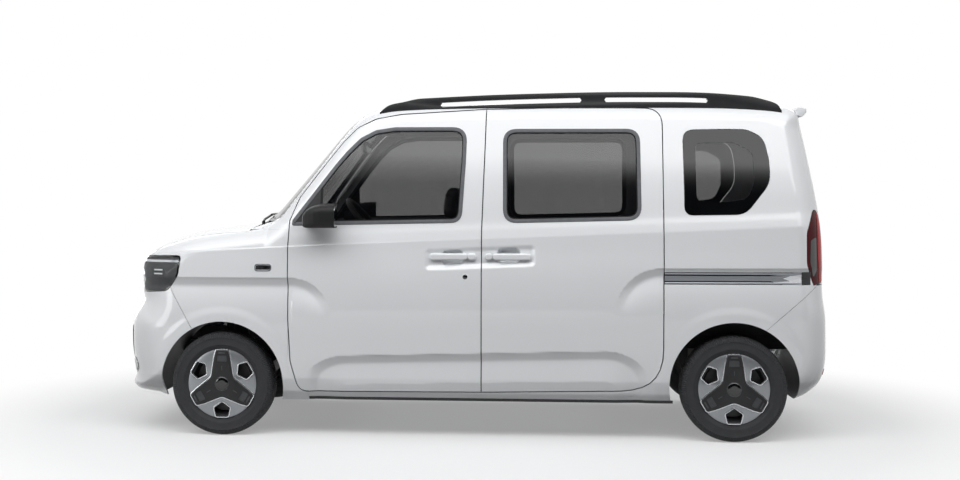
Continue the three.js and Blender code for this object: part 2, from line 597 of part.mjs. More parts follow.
function bodySide() {
  const columns = [...steps(TAIL + 4, -1000, 7), -500, 0, 500, 640, 740, 830, 913, 1010, 1150];
  const skin = slab(columns, SIDE_ROWS, sideRay, 0, WALL, [everySecond(columns), everySecond(SIDE_ROWS)]);
  const keep = box(-1850, 1142, ROOF_JOINT, OUT, SILL_FOOT, 1800);
  const ahead = alongY([[1180, COWL_JOINT], [913, COWL_JOINT], [913, 247], [819, 247], [819, 150], [1180, 150]], 0, OUT);
  const slot = box(C_LINE + 20, TRACK_SLOT.rear, TRACK_SLOT.floor, OUT, TRACK_SLOT.low, TRACK_SLOT.high);
  const sill = box(-1000, 818, 610, 672, SILL_FOOT, FLOOR - SEAT_GAP);
  const sillFoot = box(-1000, 818, 670, 700, SILL_FOOT, 228);
  const sillEnd = box(810, 925, 610, 655, SILL_FOOT, FLOOR - SEAT_GAP);
  const pillar = alongY([[-115, 200], [-15, 200], [-35, 1690], [-125, 1690]], 480, 900)
    .intersect(slab(steps(-160, 20, 2), everySecond(SIDE_ROWS), sideRay, WALL + 8, WALL + 58));
  const hingePillar = join(box(850, 925, 610, 680, 340, 900), box(850, 925, 610, 655, 300, 1040),
    box(900, 1010, 610, 650, 1000, 1085), box(935, 1010, 640, 706, COWL_JOINT + 2, 1085));
  const cantRail = box(-1600, 420, 492, INNER_EDGE - DOOR_GAP, 1636, 1720)
    .intersect(filled(steps(-1700, 500, 8), steps(470, 560, 2), topRay, ROOF_SHEET + 8, 0));
  const panel = cut(skin.intersect(keep), frontDoorCut, slidingDoorCut, quarterWindowCut, screenCut, tailgateCut,
    taillampCut, bumperSide(BUMPER_SPLIT_REAR, 790, -2000, 0), ahead, slot, box(1056, 1160, 0, 660, 900, 1130));
  const members = join(sill, sillFoot, sillEnd, pillar, hingePillar, cantRail);
  return join(cut(join(panel, members, ...HINGE.heights.map(hingeStrap)), archCut[1]), wheelhouse());
}
addPair("body_side", bodySide(), MATERIALS.body);

function roofPanel() {
  const columns = [-1662, -1610, -1300, -900, -500, -100, 200, 380, 500, 600, 700, 800];
  const skin = slab(columns, steps(-532, 532, 8), topRay, 0, ROOF_SHEET);
  const keep = box(-1662, 800, -ROOF_JOINT + SEAT_GAP, ROOF_JOINT - SEAT_GAP, 1400, 1800);
  return cut(skin.intersect(keep), screenCut, tailgateCut);
}
add("roof_panel", roofPanel(), MATERIALS.body);

// Pull handles: a bar that stands in a shallow hand recess. Each door has its own front and rear end of the recess.
const HANDLE = { z: 924, low: 872, high: 968, depth: 14, proud: 4, bar: 13, front: [205, -40], sliding: [-92, -336] };
const handleFace = SIDE - LOWER_SIDE(HANDLE.z);
function withHandle(door, [front, rear]) {
  const recess = rounded([[front, HANDLE.high, 40], [rear, HANDLE.high, 30], [rear, HANDLE.low, 30], [front, HANDLE.low, 40]], 2);
  const bar = [[front + 6, handleFace - 6], [front - 16, handleFace + HANDLE.proud], [rear + 16, handleFace + HANDLE.proud],
    [rear - 6, handleFace - 6], [rear - 6, handleFace - HANDLE.depth - 4], [front + 6, handleFace - HANDLE.depth - 4]];
  return join(cut(door, alongY(recess, handleFace - HANDLE.depth, OUT)), alongZ(bar, HANDLE.z - HANDLE.bar, HANDLE.z + HANDLE.bar));
}

function frontDoor() {
  const columns = [...steps(-110, 500, 3), 620, 720, 800, 860, 940];
  const skin = slab(columns, DOOR_ROWS, sideRay, 0, WALL, [everySecond(columns), everySecond(DOOR_ROWS)]);
  return cut(withHandle(skin.intersect(alongY(FRONT_DOOR, INNER_EDGE, OUT)), HANDLE.front), alongY(FRONT_WINDOW, 300, OUT),
    pillarClear, ...HINGE.heights.map(hingePocket));
}
const frontDoorLeft = frontDoor();
addPair("front_door", frontDoorLeft, MATERIALS.body);

function slidingDoor() {
  const columns = steps(-1000, -60, 8);
  const skin = slab(columns, DOOR_ROWS, sideRay, 0, WALL, [everySecond(columns), everySecond(DOOR_ROWS)]);
  const panel = cut(skin.intersect(alongY(SLIDING_DOOR, INNER_EDGE, OUT)), alongY(SLIDING_WINDOW, 300, OUT));
  const roller = box(-1060, C_LINE + 15, TRACK_SLOT.floor + 6, TRACK_SLOT.floor + 24, TRACK_SLOT.low + SEAT_GAP,
    TRACK_SLOT.high - SEAT_GAP);
  return join(withHandle(panel, HANDLE.sliding), roller);
}
addPair("sliding_door", slidingDoor(), MATERIALS.body);

const GLASS = { inset: 6, thick: 8 };
function sideGlass(outline, x0, x1, count) {
  const skin = slab(steps(x0, x1, count), WINDOW_ROWS, sideRay, GLASS.inset, GLASS.inset + GLASS.thick);
  return skin.intersect(alongY(offset(outline, -SEAT_GAP), 300, OUT));
}
addPair("front_door_glass", sideGlass(FRONT_WINDOW, 0, 760, 5), MATERIALS.glass);
addPair("sliding_door_glass", sideGlass(SLIDING_WINDOW, -890, -160, 4), MATERIALS.glass);
addPair("quarter_glass", sideGlass(QUARTER_WINDOW, -1540, -1070, 4), MATERIALS.glass);

function fender() {
  const skin = slab([...steps(800, 1500, 6), 1580, 1650, 1720], FENDER_ROWS, sideRay, 0, SKIN);
  const panel = skin.intersect(box(815, 1800, 400, OUT, SILL_HEIGHT, COWL_JOINT - SEAT_GAP));
  const sillEnd = alongY([[700, 100], [819, 100], [819, DOOR_FOOT - 6], [921, DOOR_FOOT], [905, 1300], [700, 1300]], 0, OUT);
  return cut(panel, frontDoorCut, bonnetCut, archCut[0], headlampCut, bumperSide(BUMPER_SPLIT_FRONT, 930, 2000, -SEAT_GAP),
    sillEnd, box(700, 1150, 0, 660, 900, 1300));
}
addPair("fender", fender(), MATERIALS.body);

function bonnetPanel() {
  const ray = (share, along) => {
    const y = share * (670 + along * (575 - 670));
    return topRay(1128 + along * (BONNET_FRONT(y) + 6 - 1128), y);
  };
  const skin = slab(steps(-1, 1, 8), [0, 0.2, 0.4, 0.6, 0.75, 0.87, 0.95, 1], ray, 0, SKIN);
  return skin.intersect(alongZ(BONNET, 700, 1300));
}
const bonnet = bonnetPanel();
add("bonnet", bonnet, MATERIALS.body);

const GRILLE = { half: 430, low: 300, high: 430 };
const grilleOpening = rounded([
  [GRILLE.half, GRILLE.low, 40], [GRILLE.half + 30, GRILLE.high, 40],
  [-GRILLE.half - 30, GRILLE.high, 40], [-GRILLE.half, GRILLE.low, 40],
], 3);
const bumperRow = [192, 225, 256, 300, 350, 430, 545, 610, 700, 850, 905, 940];
function frontBumper() {
  const skin = slab(steps(-1.35, 1.35, 14), bumperRow, turnRay(1200), 0, SKIN);
  // Bars that bow with the bumper, their ends let into it beside the opening.
  const across = [-1, -0.6, 0, 0.6, 1].map((share) => share * (GRILLE.half + 45));
  const bars = steps(GRILLE.low + 32, GRILLE.high - 32, 2).map((z) => {
    const front = across.map((y) => [skinPoint(placed([1200, y, z]), [1, 0, 0], 3, RAY_REACH)[0], y]);
    const back = front.map(([x, y]) => [x - 9, y]).reverse();
    return alongZ([...front, ...back].map(([x, y]) => [drawnX(x), y]), z - 7, z + 7);
  });
  const open = cut(skin, alongX(grilleOpening, 1400, 2000));
  return cut(join(open, ...bars).intersect(bumperSide(BUMPER_SPLIT_FRONT, 930, 2000, 0)), archCut[0], flipped(archCut[0]),
    headlampCut, flipped(headlampCut), bonnetCut);
}
add("front_bumper", frontBumper(), MATERIALS.body);

function rearBumper() {
  const skin = slab(steps(Math.PI - 1.3, Math.PI + 1.3, 14), [196, 240, 300, 400, 560, 640, 740, 785], turnRay(-1150), 0, SKIN);
  const shelf = box(-2000, -1400, -(592 + DOOR_GAP), 592 + DOOR_GAP, 632 - DOOR_GAP, 1200);
  return cut(skin.intersect(bumperSide(BUMPER_SPLIT_REAR, 790, -2000, -SEAT_GAP)), archCut[1], flipped(archCut[1]),
    taillampCut, flipped(taillampCut), shelf);
}
add("rear_bumper", rearBumper(), MATERIALS.body);

function tailgate() {
  const angles = [2.12, 2.2, 2.28, 2.36, 2.45, 2.6, 2.85, 3.15, 3.35, 3.5, 3.65, 3.9];
  const skin = slab(steps(-640, 640, 8), angles, fanRay(-1250, 1150), 0, 40);
  const panel = cut(skin.intersect(alongX(TAILGATE, -2000, -1560)), alongX(TAILGATE_WINDOW, -2000, -1400),
    box(TAILGATE_AXIS.x - 6, -1000, -OUT, OUT, 1000, 2000));
  const spoiler = alongY([[-1676, 1690], [-1748, 1678], [-1752, 1664], [-1700, 1640], [-1672, 1660]], -500, 500);
  return join(panel, spoiler);
}
add("tailgate", tailgate(), MATERIALS.body);

function tailgateGlass() {
  const [columns, rows] = [steps(-520, 520, 4), steps(2.35, 3.27, 4)];
  const skin = slab(columns, rows, fanRay(-1250, 1150), GLASS.inset, GLASS.inset + GLASS.thick, [columns, rows]);
  return skin.intersect(alongX(offset(TAILGATE_WINDOW, -SEAT_GAP), -2000, -1400));
}
add("tailgate_glass", tailgateGlass(), MATERIALS.glass);

function windscreen() {
  const [columns, rows] = [steps(-1, 1, 6), steps(1090, 1665, 5)];
  const skin = slab(columns, rows, screenRay, 2, 2 + GLASS.thick, [columns, rows]);
  return skin.intersect(alongX(offset(SCREEN, -SEAT_GAP), 0, 1400));
}
add("windscreen", windscreen(), MATERIALS.glass);

const lampSkin = (from, to, rows, centre) => slab(steps(from, to, 7), rows, turnRay(centre), 1, 46);
const headlamp = lampSkin(0.3, 1.25, [700, 760, 830, 890, 945], 1200)
  .intersect(lampCut(HEADLAMP_SIDE, HEADLAMP_END, 0, 1400, 1900));
addPair("headlamp", headlamp, MATERIALS.lamp);
const tailLamp = lampSkin(Math.PI - 1.1, Math.PI - 0.55, [740, 880, 1000, 1190], -1150)
  .intersect(lampCut(TAILLAMP_SIDE, TAILLAMP_END, 0, -1900, -1600));
addPair("tail_lamp", tailLamp, MATERIALS.redLamp);

// Wiper: an arm on a pivot in the cowl and a blade that lies along the foot of the windscreen.
const WIPER = { pivots: [440, -330], pivotX: 1121, blade: 185, z: 1150, lift: 12, thick: 5 };
function wiper(y) {
  const onScreen = (across) => {
    const [x, , z] = skinPoint(placed([700, across, WIPER.z]), [1, 0, 0], 0, RAY_REACH);
    return [drawnX(x) + WIPER.lift * Math.sin(0.7), across, drawnZ(z) + WIPER.lift * Math.cos(0.7)];
  };
  const side = Math.sign(y);
  const blade = [y - side * 2 * WIPER.blade, y - side * WIPER.blade, y - side * 20].map(onScreen);
  const top = [WIPER.pivotX, y, 1124];
  return join(rod([WIPER.pivotX, y, 1066], [WIPER.pivotX, y, 1128], 5, 6), rod(top, blade[1], WIPER.thick, 4),
    rod(blade[0], blade[1], WIPER.thick, 4), rod(blade[1], blade[2], WIPER.thick, 4));
}

// The cowl below the windscreen, which carries the wipers.
function cowl() {
  const skin = slab(steps(-668, 668, 8), steps(1.3, 1.75, 5), fanRay(1130, 700), 4, 20);
  const panel = cut(skin.intersect(box(1000, 1136 - DOOR_GAP, -659, 659, 900, 1200)), alongX(offset(SCREEN, SEAT_GAP), 0, 1400));
  return join(panel, ...WIPER.pivots.map(wiper));
}
add("cowl_panel", cowl(), MATERIALS.plastic);

// Roof rails: a flat-topped bar on three feet.
const RAIL = { y: 560, width: 34, front: 470, rear: -1590, rise: 30, thick: 24 };
function roofRail() {
  const top = ROOF + RAIL.rise;
  const low = top - RAIL.thick;
  const bar = alongY(rounded([[RAIL.rear, top - 76, 0], [RAIL.rear + 60, top, 90], [RAIL.front - 190, top, 240],
    [RAIL.front, top - 96, 0], [RAIL.front - 60, top - 116, 0], [RAIL.front - 210, low, 200], [RAIL.rear + 100, low, 60],
    [RAIL.rear + 60, top - 106, 0]], 3), RAIL.y - RAIL.width / 2, RAIL.y + RAIL.width / 2);
  const foot = box(-700, -640, RAIL.y - 14, RAIL.y + 14, 1680, top - 2);
  const under = filled([-1700, -1640, -1590, -1540, -1480, -1300, -900, -300, 100, 300, 400, 500, 600], steps(520, 600, 5), topRay, -SEAT_GAP, 0);
  return cut(join(bar, foot), under);
}
addPair("roof_rail", roofRail(), MATERIALS.rail);

// Door mirrors, carried on the sail at the foot of the front window.
function mirror() {
  const outline = rounded([[668, 1085, 26], [838, 1085, 40], [815, 1196, 34], [672, 1190, 30]], 3);
  const bowl = alongY(outline, 772, 900);
  const arm = rod([795, 690, 1125], [795, 790, 1125], 20, 8);
  return join(bowl, outermost(cut(arm, frontDoorLeft.translate([0, SEAT_GAP, 0]))));
}
addPair("mirror", mirror(), MATERIALS.plastic);

// ---------------------------------------------------------------- under the body
const BAY = 400; // half width between the front wheel arches
const WHEEL_Y = SIDE - WHEEL_INSET;
const UPRIGHT = { inner: WHEEL_Y - 99, outer: WHEEL_Y - 59, low: TYRE_RADIUS - 92, high: TYRE_RADIUS + 112 };
// The spring strut, whose lower end stands on the steering upright.
function frontStrut() {
  const x = FRONT_AXLE;
  return join(
    box(x - 22, x + 22, 524, UPRIGHT.outer, UPRIGHT.high + SEAT_GAP, UPRIGHT.high + 22),
    rod([x, 540, UPRIGHT.high + 10], [x, 524, 570], 20, 10),
    rod([x, 524, 560], [x - 10, 500, 705], 42, 12));
}
const bothSides = (made) => [made, flipped(made)];
const archClear = ARCHES.flatMap((arch) =>
  bothSides(turnedY([[0, BAY], [ARCH_RADIUS, BAY], [ARCH_RADIUS, OUT], [0, OUT]], arch.x, arch.z, ARCH_SIDES)));
function floorPan() {
  const line = [[1095, 1040], [1110, 660], [1000, 440], [925, FLOOR], [-760, FLOOR], [-850, LOAD_FLOOR], [-1760, LOAD_FLOOR]];
  const upper = line.map(([x, z], i) => {
    const next = line[Math.min(i + 1, line.length - 1)];
    const last = line[Math.max(i - 1, 0)];
    const along = new THREE.Vector2(next[0] - last[0], next[1] - last[1]).normalize();
    return [x + along.y * SHEET, z - along.x * SHEET];
  });
  const sheet = alongY([...line, ...upper.reverse()], -690, 690);
  const narrow = join(box(-1800, -850, -600, 600, 0, 1200), box(-850, 845, -630, 630, 0, 1200), box(840, 1200, -605, 605, 0, 1200));
  const rails = bothSides(box(880, 1690, 330, 390, 400, 460).add(box(880, 960, 330, 390, 322, 460)));
  const rearRails = bothSides(box(-1740, -800, 400, 450, 440, LOAD_FLOOR + 2));
  const rear = ARCHES[1];
  const reach = ARCH_RADIUS + HOUSE.wall + SEAT_GAP;
  const inner = HOUSE.inner - SEAT_GAP;
  const clearRear = bothSides(turnedY([[0, inner], [reach, inner], [reach, OUT], [0, OUT]], rear.x, rear.z, ARCH_SIDES));
  const bulkheadEnds = box(900, 1200, -BAY + 10, BAY - 10, 0, 1200).add(box(900, 1200, -640, 640, 620, 1200));
  const trimmed = sheet.intersect(narrow).intersect(join(bulkheadEnds, box(-1800, 930, -700, 700, 0, 1200)));
  const tower = join(box(FRONT_AXLE - 60, FRONT_AXLE + 40, 335, 385, 455, 700),
    box(FRONT_AXLE - 70, FRONT_AXLE + 50, 335, 560, 700, 716), frontStrut());
  // Radiator support with the posts that the shut bonnet rests on.
  const posts = [[340, 380], [-380, -340]].map(([y0, y1]) =>
    mainBody(cut(box(1640, 1676, y0, y1, 440, 1000), bonnet.translate([0, 0, -SEAT_GAP]))));
  const support = join(...posts, box(1650, 1666, -350, 350, 400, 640));
  return cut(join(trimmed, ...rails, ...rearRails, ...bothSides(tower), support), ...clearRear,
    cut(archClear[0], box(900, 1700, 0, 570, 376, 720)), cut(archClear[1], box(900, 1700, -570, 0, 376, 720)));
}
add("floor_pan", floorPan(), MATERIALS.steel);

// Back panel under the tailgate, with the two stops that the shut tailgate rests on.
const backPanel = join(box(-1790, -1760 - SEAT_GAP, -440, 440, LOAD_FLOOR - 60, 616),
  ...bothSides(box(-1818, -1789, 90, 150, 600, 632 - SEAT_GAP)));
add("back_panel", backPanel, MATERIALS.steel);

const BATTERY = { front: 640, rear: -700, half: 430, low: 165, high: FLOOR - SEAT_GAP };
add("battery_pack", box(BATTERY.rear, BATTERY.front, -BATTERY.half, BATTERY.half, BATTERY.low, BATTERY.high), MATERIALS.steel);

// ---------------------------------------------------------------- running gear
const HUB_FACE = WHEEL_Y + 22; // where the wheel disc bolts to its hub
const hub = (x, from) => turnedY([[0, from], [48, from], [48, WHEEL_Y - 33], [62, WHEEL_Y - 33], [62, HUB_FACE - SEAT_GAP],
  [0, HUB_FACE - SEAT_GAP]], x, TYRE_RADIUS, 12);

// The steering upright with its hub, inside the rim.
function knuckle() {
  const x = FRONT_AXLE;
  const upright = box(x - 24, x + 24, UPRIGHT.inner, UPRIGHT.outer, UPRIGHT.low, UPRIGHT.high);
  const arm = box(x - 118, x - 10, UPRIGHT.inner, UPRIGHT.inner + 22, TYRE_RADIUS - 60, TYRE_RADIUS - 36);
  return join(hub(x, UPRIGHT.inner + 10), upright, arm);
}
addPair("knuckle", knuckle(), MATERIALS.steel);

// Front subframe with the lower arms that end under the uprights.
function frontSubframe() {
  const x = FRONT_AXLE;
  const cross = box(x - 130, x + 90, -390, 390, 240, 300);
  const posts = bothSides(box(x - 60, x + 40, 335, 385, 290, 400 - SEAT_GAP));
  const arms = bothSides(join(
    rod([x - 90, 370, 258], [x - 6, UPRIGHT.inner + 19, 138], 12, 8),
    rod([x + 60, 370, 258], [x + 6, UPRIGHT.inner + 19, 138], 12, 8),
    box(x - 24, x + 24, UPRIGHT.inner, UPRIGHT.outer, 130, UPRIGHT.low - SEAT_GAP)));
  return join(cross, ...posts, ...arms);
}
add("front_subframe", frontSubframe(), MATERIALS.steel);

// Driven rear axle: beam, hubs, motor and gearbox in one block, and coil springs drawn as columns.
function rearAxle() {
  const x = REAR_AXLE;
  const beam = rod([x, 75 - WHEEL_Y, TYRE_RADIUS], [x, WHEEL_Y - 75, TYRE_RADIUS], 36, 12);
  const hubs = bothSides(hub(x, WHEEL_Y - 95));
  const motor = box(x - 150, x + 140, -190, 170, 175, 415);
  const springs = bothSides(rod([x, 425, TYRE_RADIUS], [x, 425, 440 - SEAT_GAP], 46, 12));
  return join(beam, ...hubs, motor, ...springs);
}
add("rear_axle", rearAxle(), MATERIALS.steel);

// Tyre section, by radius and distance from its middle plane.
const WHEEL_SIDES = 20;
const TYRE_HALF = TYRE_WIDTH / 2;
const RIM = { flange: 176, seat: 165, half: 62 };
const tyreSide = [[RIM.seat + SEAT_GAP, 54.5], [RIM.flange + 2.5, 56.5], [TYRE_RADIUS - 46, TYRE_HALF], [TYRE_RADIUS - 12, TYRE_HALF - 9],
  [TYRE_RADIUS, TYRE_HALF - 33]];
const tyreSection = [...tyreSide, ...tyreSide.slice().reverse().map(([r, y]) => [r, -y])];

// Pressed steel wheel with its full cover: a raised three-armed star on a flat disc, and a five-sided hole between arms.
const COVER = { edge: 61, middle: 68, star: 5, pocket: 24 };
const cover = [[178, COVER.edge], [170, COVER.middle], [0, COVER.middle]];
const wheelSection = [[0, 22], [74, 22], [96, 6], [146, 6], [148, -56], [RIM.flange, -RIM.half], [RIM.seat, -55],
  [RIM.seat, 55], [RIM.flange, 57], ...cover];
const STAR = { reach: 172, tip: 31, shoulder: 43, shoulderAt: 130, valley: 66 };
const HOLE = { at: 132, apex: 37, side: 41, foot: 30 };
// Three copies round the hub of points given by distance along an arm and to its left.
const threefold = (points) => [0, 1, 2].flatMap((arm) => points.map(([along, left, radius]) => {
  const turn = (arm * 2 * Math.PI) / 3 + Math.PI / 2;
  return [along * Math.cos(turn) - left * Math.sin(turn), along * Math.sin(turn) + left * Math.cos(turn), radius];
}));
const starOutline = rounded(threefold([[STAR.valley / 2, -STAR.valley * Math.sin(Math.PI / 3), 30],
  [STAR.shoulderAt, -STAR.shoulder, 0], [STAR.reach, -STAR.tip, 14], [STAR.reach, STAR.tip, 14],
  [STAR.shoulderAt, STAR.shoulder, 0]]), 2);
// One hole, whose apex points at the hub, as [along, left, corner radius] from the hub on a line between two arms.
const hole = [[-HOLE.apex, 0, 10], [-8, -HOLE.side, 10], [HOLE.apex, -HOLE.foot, 10], [HOLE.apex, HOLE.foot, 10], [-8, HOLE.side, 10]]
  .map(([along, left, radius]) => [-(along + HOLE.at), -left, radius]);
function wheel(x) {
  const profile = (section) => turnedY(section.map(([r, y]) => [r, y + WHEEL_Y]), x, TYRE_RADIUS, WHEEL_SIDES);
  const through = (outline, from, to) => alongY(outline.map(([a, b]) => [a + x, b + TYRE_RADIUS]), from + WHEEL_Y, to + WHEEL_Y);
  const star = through(starOutline, COVER.edge - 2, COVER.middle + COVER.star);
  const cap = profile([[0, COVER.middle], [34, COVER.middle], [34, COVER.middle + COVER.star + 3], [0, COVER.middle + COVER.star + 3]]);
  const holes = threefold(hole);
  const pockets = [0, 1, 2].map((arm) => through(rounded(holes.slice(5 * arm, 5 * arm + 5), 1), COVER.edge - COVER.pocket, COVER.middle + 20));
  return join(cut(profile(wheelSection), ...pockets), star, cap);
}
for (const [end, x] of [["front", FRONT_AXLE], ["rear", REAR_AXLE]]) {
  const section = [...tyreSection, tyreSection[0]].map(([r, y]) => [r, y + WHEEL_Y]);
  addPair(`tyre_${end}`, turnedY(section, x, TYRE_RADIUS, WHEEL_SIDES), MATERIALS.tyre);
  addPair(`wheel_${end}`, wheel(x), MATERIALS.cover);
}

// ---------------------------------------------------------------- cabin
const SEAT_Y = 365;
const CABIN_FLOOR = FLOOR + SHEET + SEAT_GAP;
function frontSeat() {
  const base = box(230, 620, SEAT_Y - 190, SEAT_Y + 190, CABIN_FLOOR, 500);
  const cushion = alongY(rounded([[150, 480, 30], [160, 620, 50], [690, 650, 60], [690, 490, 40]], 2), SEAT_Y - 240, SEAT_Y + 240);
  const back = alongY(rounded([[150, 540, 40], [260, 560, 40], [150, 1110, 50], [50, 1120, 40]], 2), SEAT_Y - 235, SEAT_Y + 235);
  const rest = alongY(rounded([[66, 1105, 20], [150, 1105, 20], [128, 1290, 35], [52, 1290, 35]], 2), SEAT_Y - 120, SEAT_Y + 120);
  return join(base, cushion, back, rest);
}
addPair("front_seat", frontSeat(), MATERIALS.cloth);

function rearSeat() {
  const base = box(-640, -280, -520, 520, CABIN_FLOOR, 480);
  const cushion = alongY(rounded([[-700, 460, 30], [-690, 590, 40], [-230, 610, 50], [-230, 470, 40]], 2), -570, 570);
  const back = alongY(rounded([[-700, 500, 40], [-590, 540, 40], [-690, 1060, 50], [-790, 1060, 40]], 2), -570, 570);
  return join(base, cushion, back);
}
add("rear_seat", rearSeat(), MATERIALS.cloth);

const bulkheadFace = (z) => 1095 - SHEET + ((1040 - z) * 15) / 380 - SEAT_GAP - 0.1;
const STEER = { x: 545, y: SEAT_Y, z: 1070, radius: 178, tilt: 40 * Math.PI / 180 };
function dashboard() {
  const form = alongY([[bulkheadFace(1015), 1015], [1000, 1040], [900, 1055], [770, 1030], [700, 970], [710, 880], [820, 760],
    [bulkheadFace(700), 700]], -598, 598);
  const away = (d) => [STEER.x + d * Math.cos(STEER.tilt), STEER.y, STEER.z - d * Math.sin(STEER.tilt)];
  return join(form, rod(away(45 + SEAT_GAP), away(330), 30, 12));
}
add("dashboard", dashboard(), MATERIALS.interior);

// Steering wheel, turned to face the driver.
function steeringWheel() {
  const rim = new THREE.TorusGeometry(STEER.radius, 14, 6, 18);
  const parts = [solid(rim), solid(new THREE.CylinderGeometry(62, 50, 40, 14).rotateX(Math.PI / 2).translate(0, 0, -25))];
  for (const turn of [0, Math.PI, 1.5 * Math.PI]) {
    parts.push(solid(new THREE.BoxGeometry(STEER.radius - 30, 34, 16).translate((STEER.radius + 20) / 2, 0, -14).rotateZ(turn)));
  }
  const upright = new THREE.Matrix4().makeBasis(new THREE.Vector3(0, -1, 0),
    new THREE.Vector3(Math.sin(STEER.tilt), 0, Math.cos(STEER.tilt)),
    new THREE.Vector3(-Math.cos(STEER.tilt), 0, Math.sin(STEER.tilt)));
  const geometry = geometryOf(join(...parts)).applyMatrix4(upright).translate(...placed([STEER.x, STEER.y, STEER.z]));
  return solid(geometry);
}
add("steering_wheel", steeringWheel(), MATERIALS.interior);

export default car;
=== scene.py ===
"""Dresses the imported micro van: painted panels, glazing, lamps, wheels, cabin and studio.

Units are metres. +X is forward, +Y is the car's left, +Z is up, and the origin is on the ground.
"""
import json
import math

import bmesh
import bpy
import numpy as np
from bpy.props import FloatProperty, FloatVectorProperty, PointerProperty
from mathutils import Matrix, Vector

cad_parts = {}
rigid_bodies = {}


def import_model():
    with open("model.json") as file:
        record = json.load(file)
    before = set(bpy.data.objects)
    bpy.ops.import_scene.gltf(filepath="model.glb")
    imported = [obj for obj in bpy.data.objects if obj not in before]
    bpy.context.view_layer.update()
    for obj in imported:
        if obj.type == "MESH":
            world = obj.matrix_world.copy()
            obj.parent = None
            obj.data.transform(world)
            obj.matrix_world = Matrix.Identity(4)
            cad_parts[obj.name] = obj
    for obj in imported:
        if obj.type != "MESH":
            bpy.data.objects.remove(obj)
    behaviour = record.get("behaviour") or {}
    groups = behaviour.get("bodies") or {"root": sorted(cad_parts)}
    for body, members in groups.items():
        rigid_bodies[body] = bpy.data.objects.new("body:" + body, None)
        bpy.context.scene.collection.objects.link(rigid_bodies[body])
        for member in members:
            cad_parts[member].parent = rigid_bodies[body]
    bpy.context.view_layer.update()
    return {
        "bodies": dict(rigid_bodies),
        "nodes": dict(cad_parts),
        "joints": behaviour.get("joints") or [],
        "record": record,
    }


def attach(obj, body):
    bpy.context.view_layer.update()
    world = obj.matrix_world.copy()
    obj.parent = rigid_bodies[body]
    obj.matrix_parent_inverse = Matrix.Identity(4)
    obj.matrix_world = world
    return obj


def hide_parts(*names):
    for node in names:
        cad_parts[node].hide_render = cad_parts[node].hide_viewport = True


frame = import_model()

bl_info = {
    "name": "Micro van dressing",
    "version": (1, 0, 0),
    "blender": (4, 5, 0),
    "location": "View3D > Sidebar > Micro van",
    "description": "Builds the visible panels, glass, wheels and cabin of a small electric van round its frame",
    "category": "Object",
}

# ------------------------------------------------------------------ driving sizes
WHEELBASE = 2.600
FRONT_OVERHANG = 0.575
REAR_OVERHANG = 0.510
HALF_WIDTH = 0.765
HALF_TRACK = 0.655
TYRE_RADIUS = 0.266
ARCH_RADIUS = 0.322
ARCH_LIFT_REAR = 0.014
SHUT_LINE = 0.0055  # gap round doors, bonnet and tailgate
WALL = 0.040  # doors and body sides
SKIN = 0.014  # fenders, bonnet and bumpers

LENGTH = WHEELBASE + FRONT_OVERHANG + REAR_OVERHANG
NOSE = LENGTH / 2
TAIL = -LENGTH / 2
FRONT_AXLE = NOSE - FRONT_OVERHANG
REAR_AXLE = TAIL + REAR_OVERHANG
ARCHES = ((FRONT_AXLE, TYRE_RADIUS), (REAR_AXLE, TYRE_RADIUS + ARCH_LIFT_REAR))
ROOF_HEIGHT = 1.736
SIDES = (("left", 1), ("right", -1))

# ------------------------------------------------------------------ curves
def smooth(value, low, high):
    """A soft step from 0 at low to 1 at high."""
    t = np.clip((value - low) / (high - low), 0, 1)
    return t * t * (3 - 2 * t)


def through(table):
    """A smooth function through (input, output) rows, level beyond its ends."""
    xs, ys = np.array(table, float).T
    slopes = np.empty_like(ys)
    slopes[1:-1] = (ys[2:] - ys[:-2]) / (xs[2:] - xs[:-2])
    slopes[0] = (ys[1] - ys[0]) / (xs[1] - xs[0])
    slopes[-1] = (ys[-1] - ys[-2]) / (xs[-1] - xs[-2])

    def value(t):
        t = np.clip(t, xs[0], xs[-1])
        i = np.clip(np.searchsorted(xs, t, side="right") - 1, 0, len(xs) - 2)
        span = xs[i + 1] - xs[i]
        s = (t - xs[i]) / span
        return (ys[i] * (2 * s**3 - 3 * s**2 + 1) + ys[i + 1] * (3 * s**2 - 2 * s**3)
                + span * (slopes[i] * (s**3 - 2 * s**2 + s) + slopes[i + 1] * (s**3 - s**2)))

    return value


def spline(points, steps=6):
    """Points along a curve that passes through each given point."""
    p = np.array(points, float)
    p = np.vstack([p[0], p, p[-1]])
    t = np.linspace(0, 1, steps, endpoint=False)[:, None]
    out = []
    for a, b, c, d in zip(p, p[1:], p[2:], p[3:]):
        m, n = (c - a) / 2, (d - b) / 2
        out.append(b * (2 * t**3 - 3 * t**2 + 1) + c * (3 * t**2 - 2 * t**3)
                   + m * (t**3 - 2 * t**2 + t) + n * (t**3 - t**2))
    return np.vstack([*out, p[-1:]])


def rounded(corners, steps=7):
    """A closed outline from (a, b, radius) corners, each rounded by an arc of its radius."""
    out = []
    for i, (a, b, radius) in enumerate(corners):
        here = Vector((a, b))
        back = Vector(corners[i - 1][:2]) - here
        on = Vector(corners[(i + 1) % len(corners)][:2]) - here
        if not radius:
            out.append((a, b))
            continue
        turn = back.angle(on) / 2
        reach = min(radius / math.tan(turn), 0.49 * back.length, 0.49 * on.length)
        start, end = here + back.normalized() * reach, here + on.normalized() * reach
        for k in range(steps + 1):
            t = k / steps
            p = start * (1 - t) ** 2 + here * (2 * t * (1 - t)) + end * t * t
            out.append((p.x, p.y))
    return out


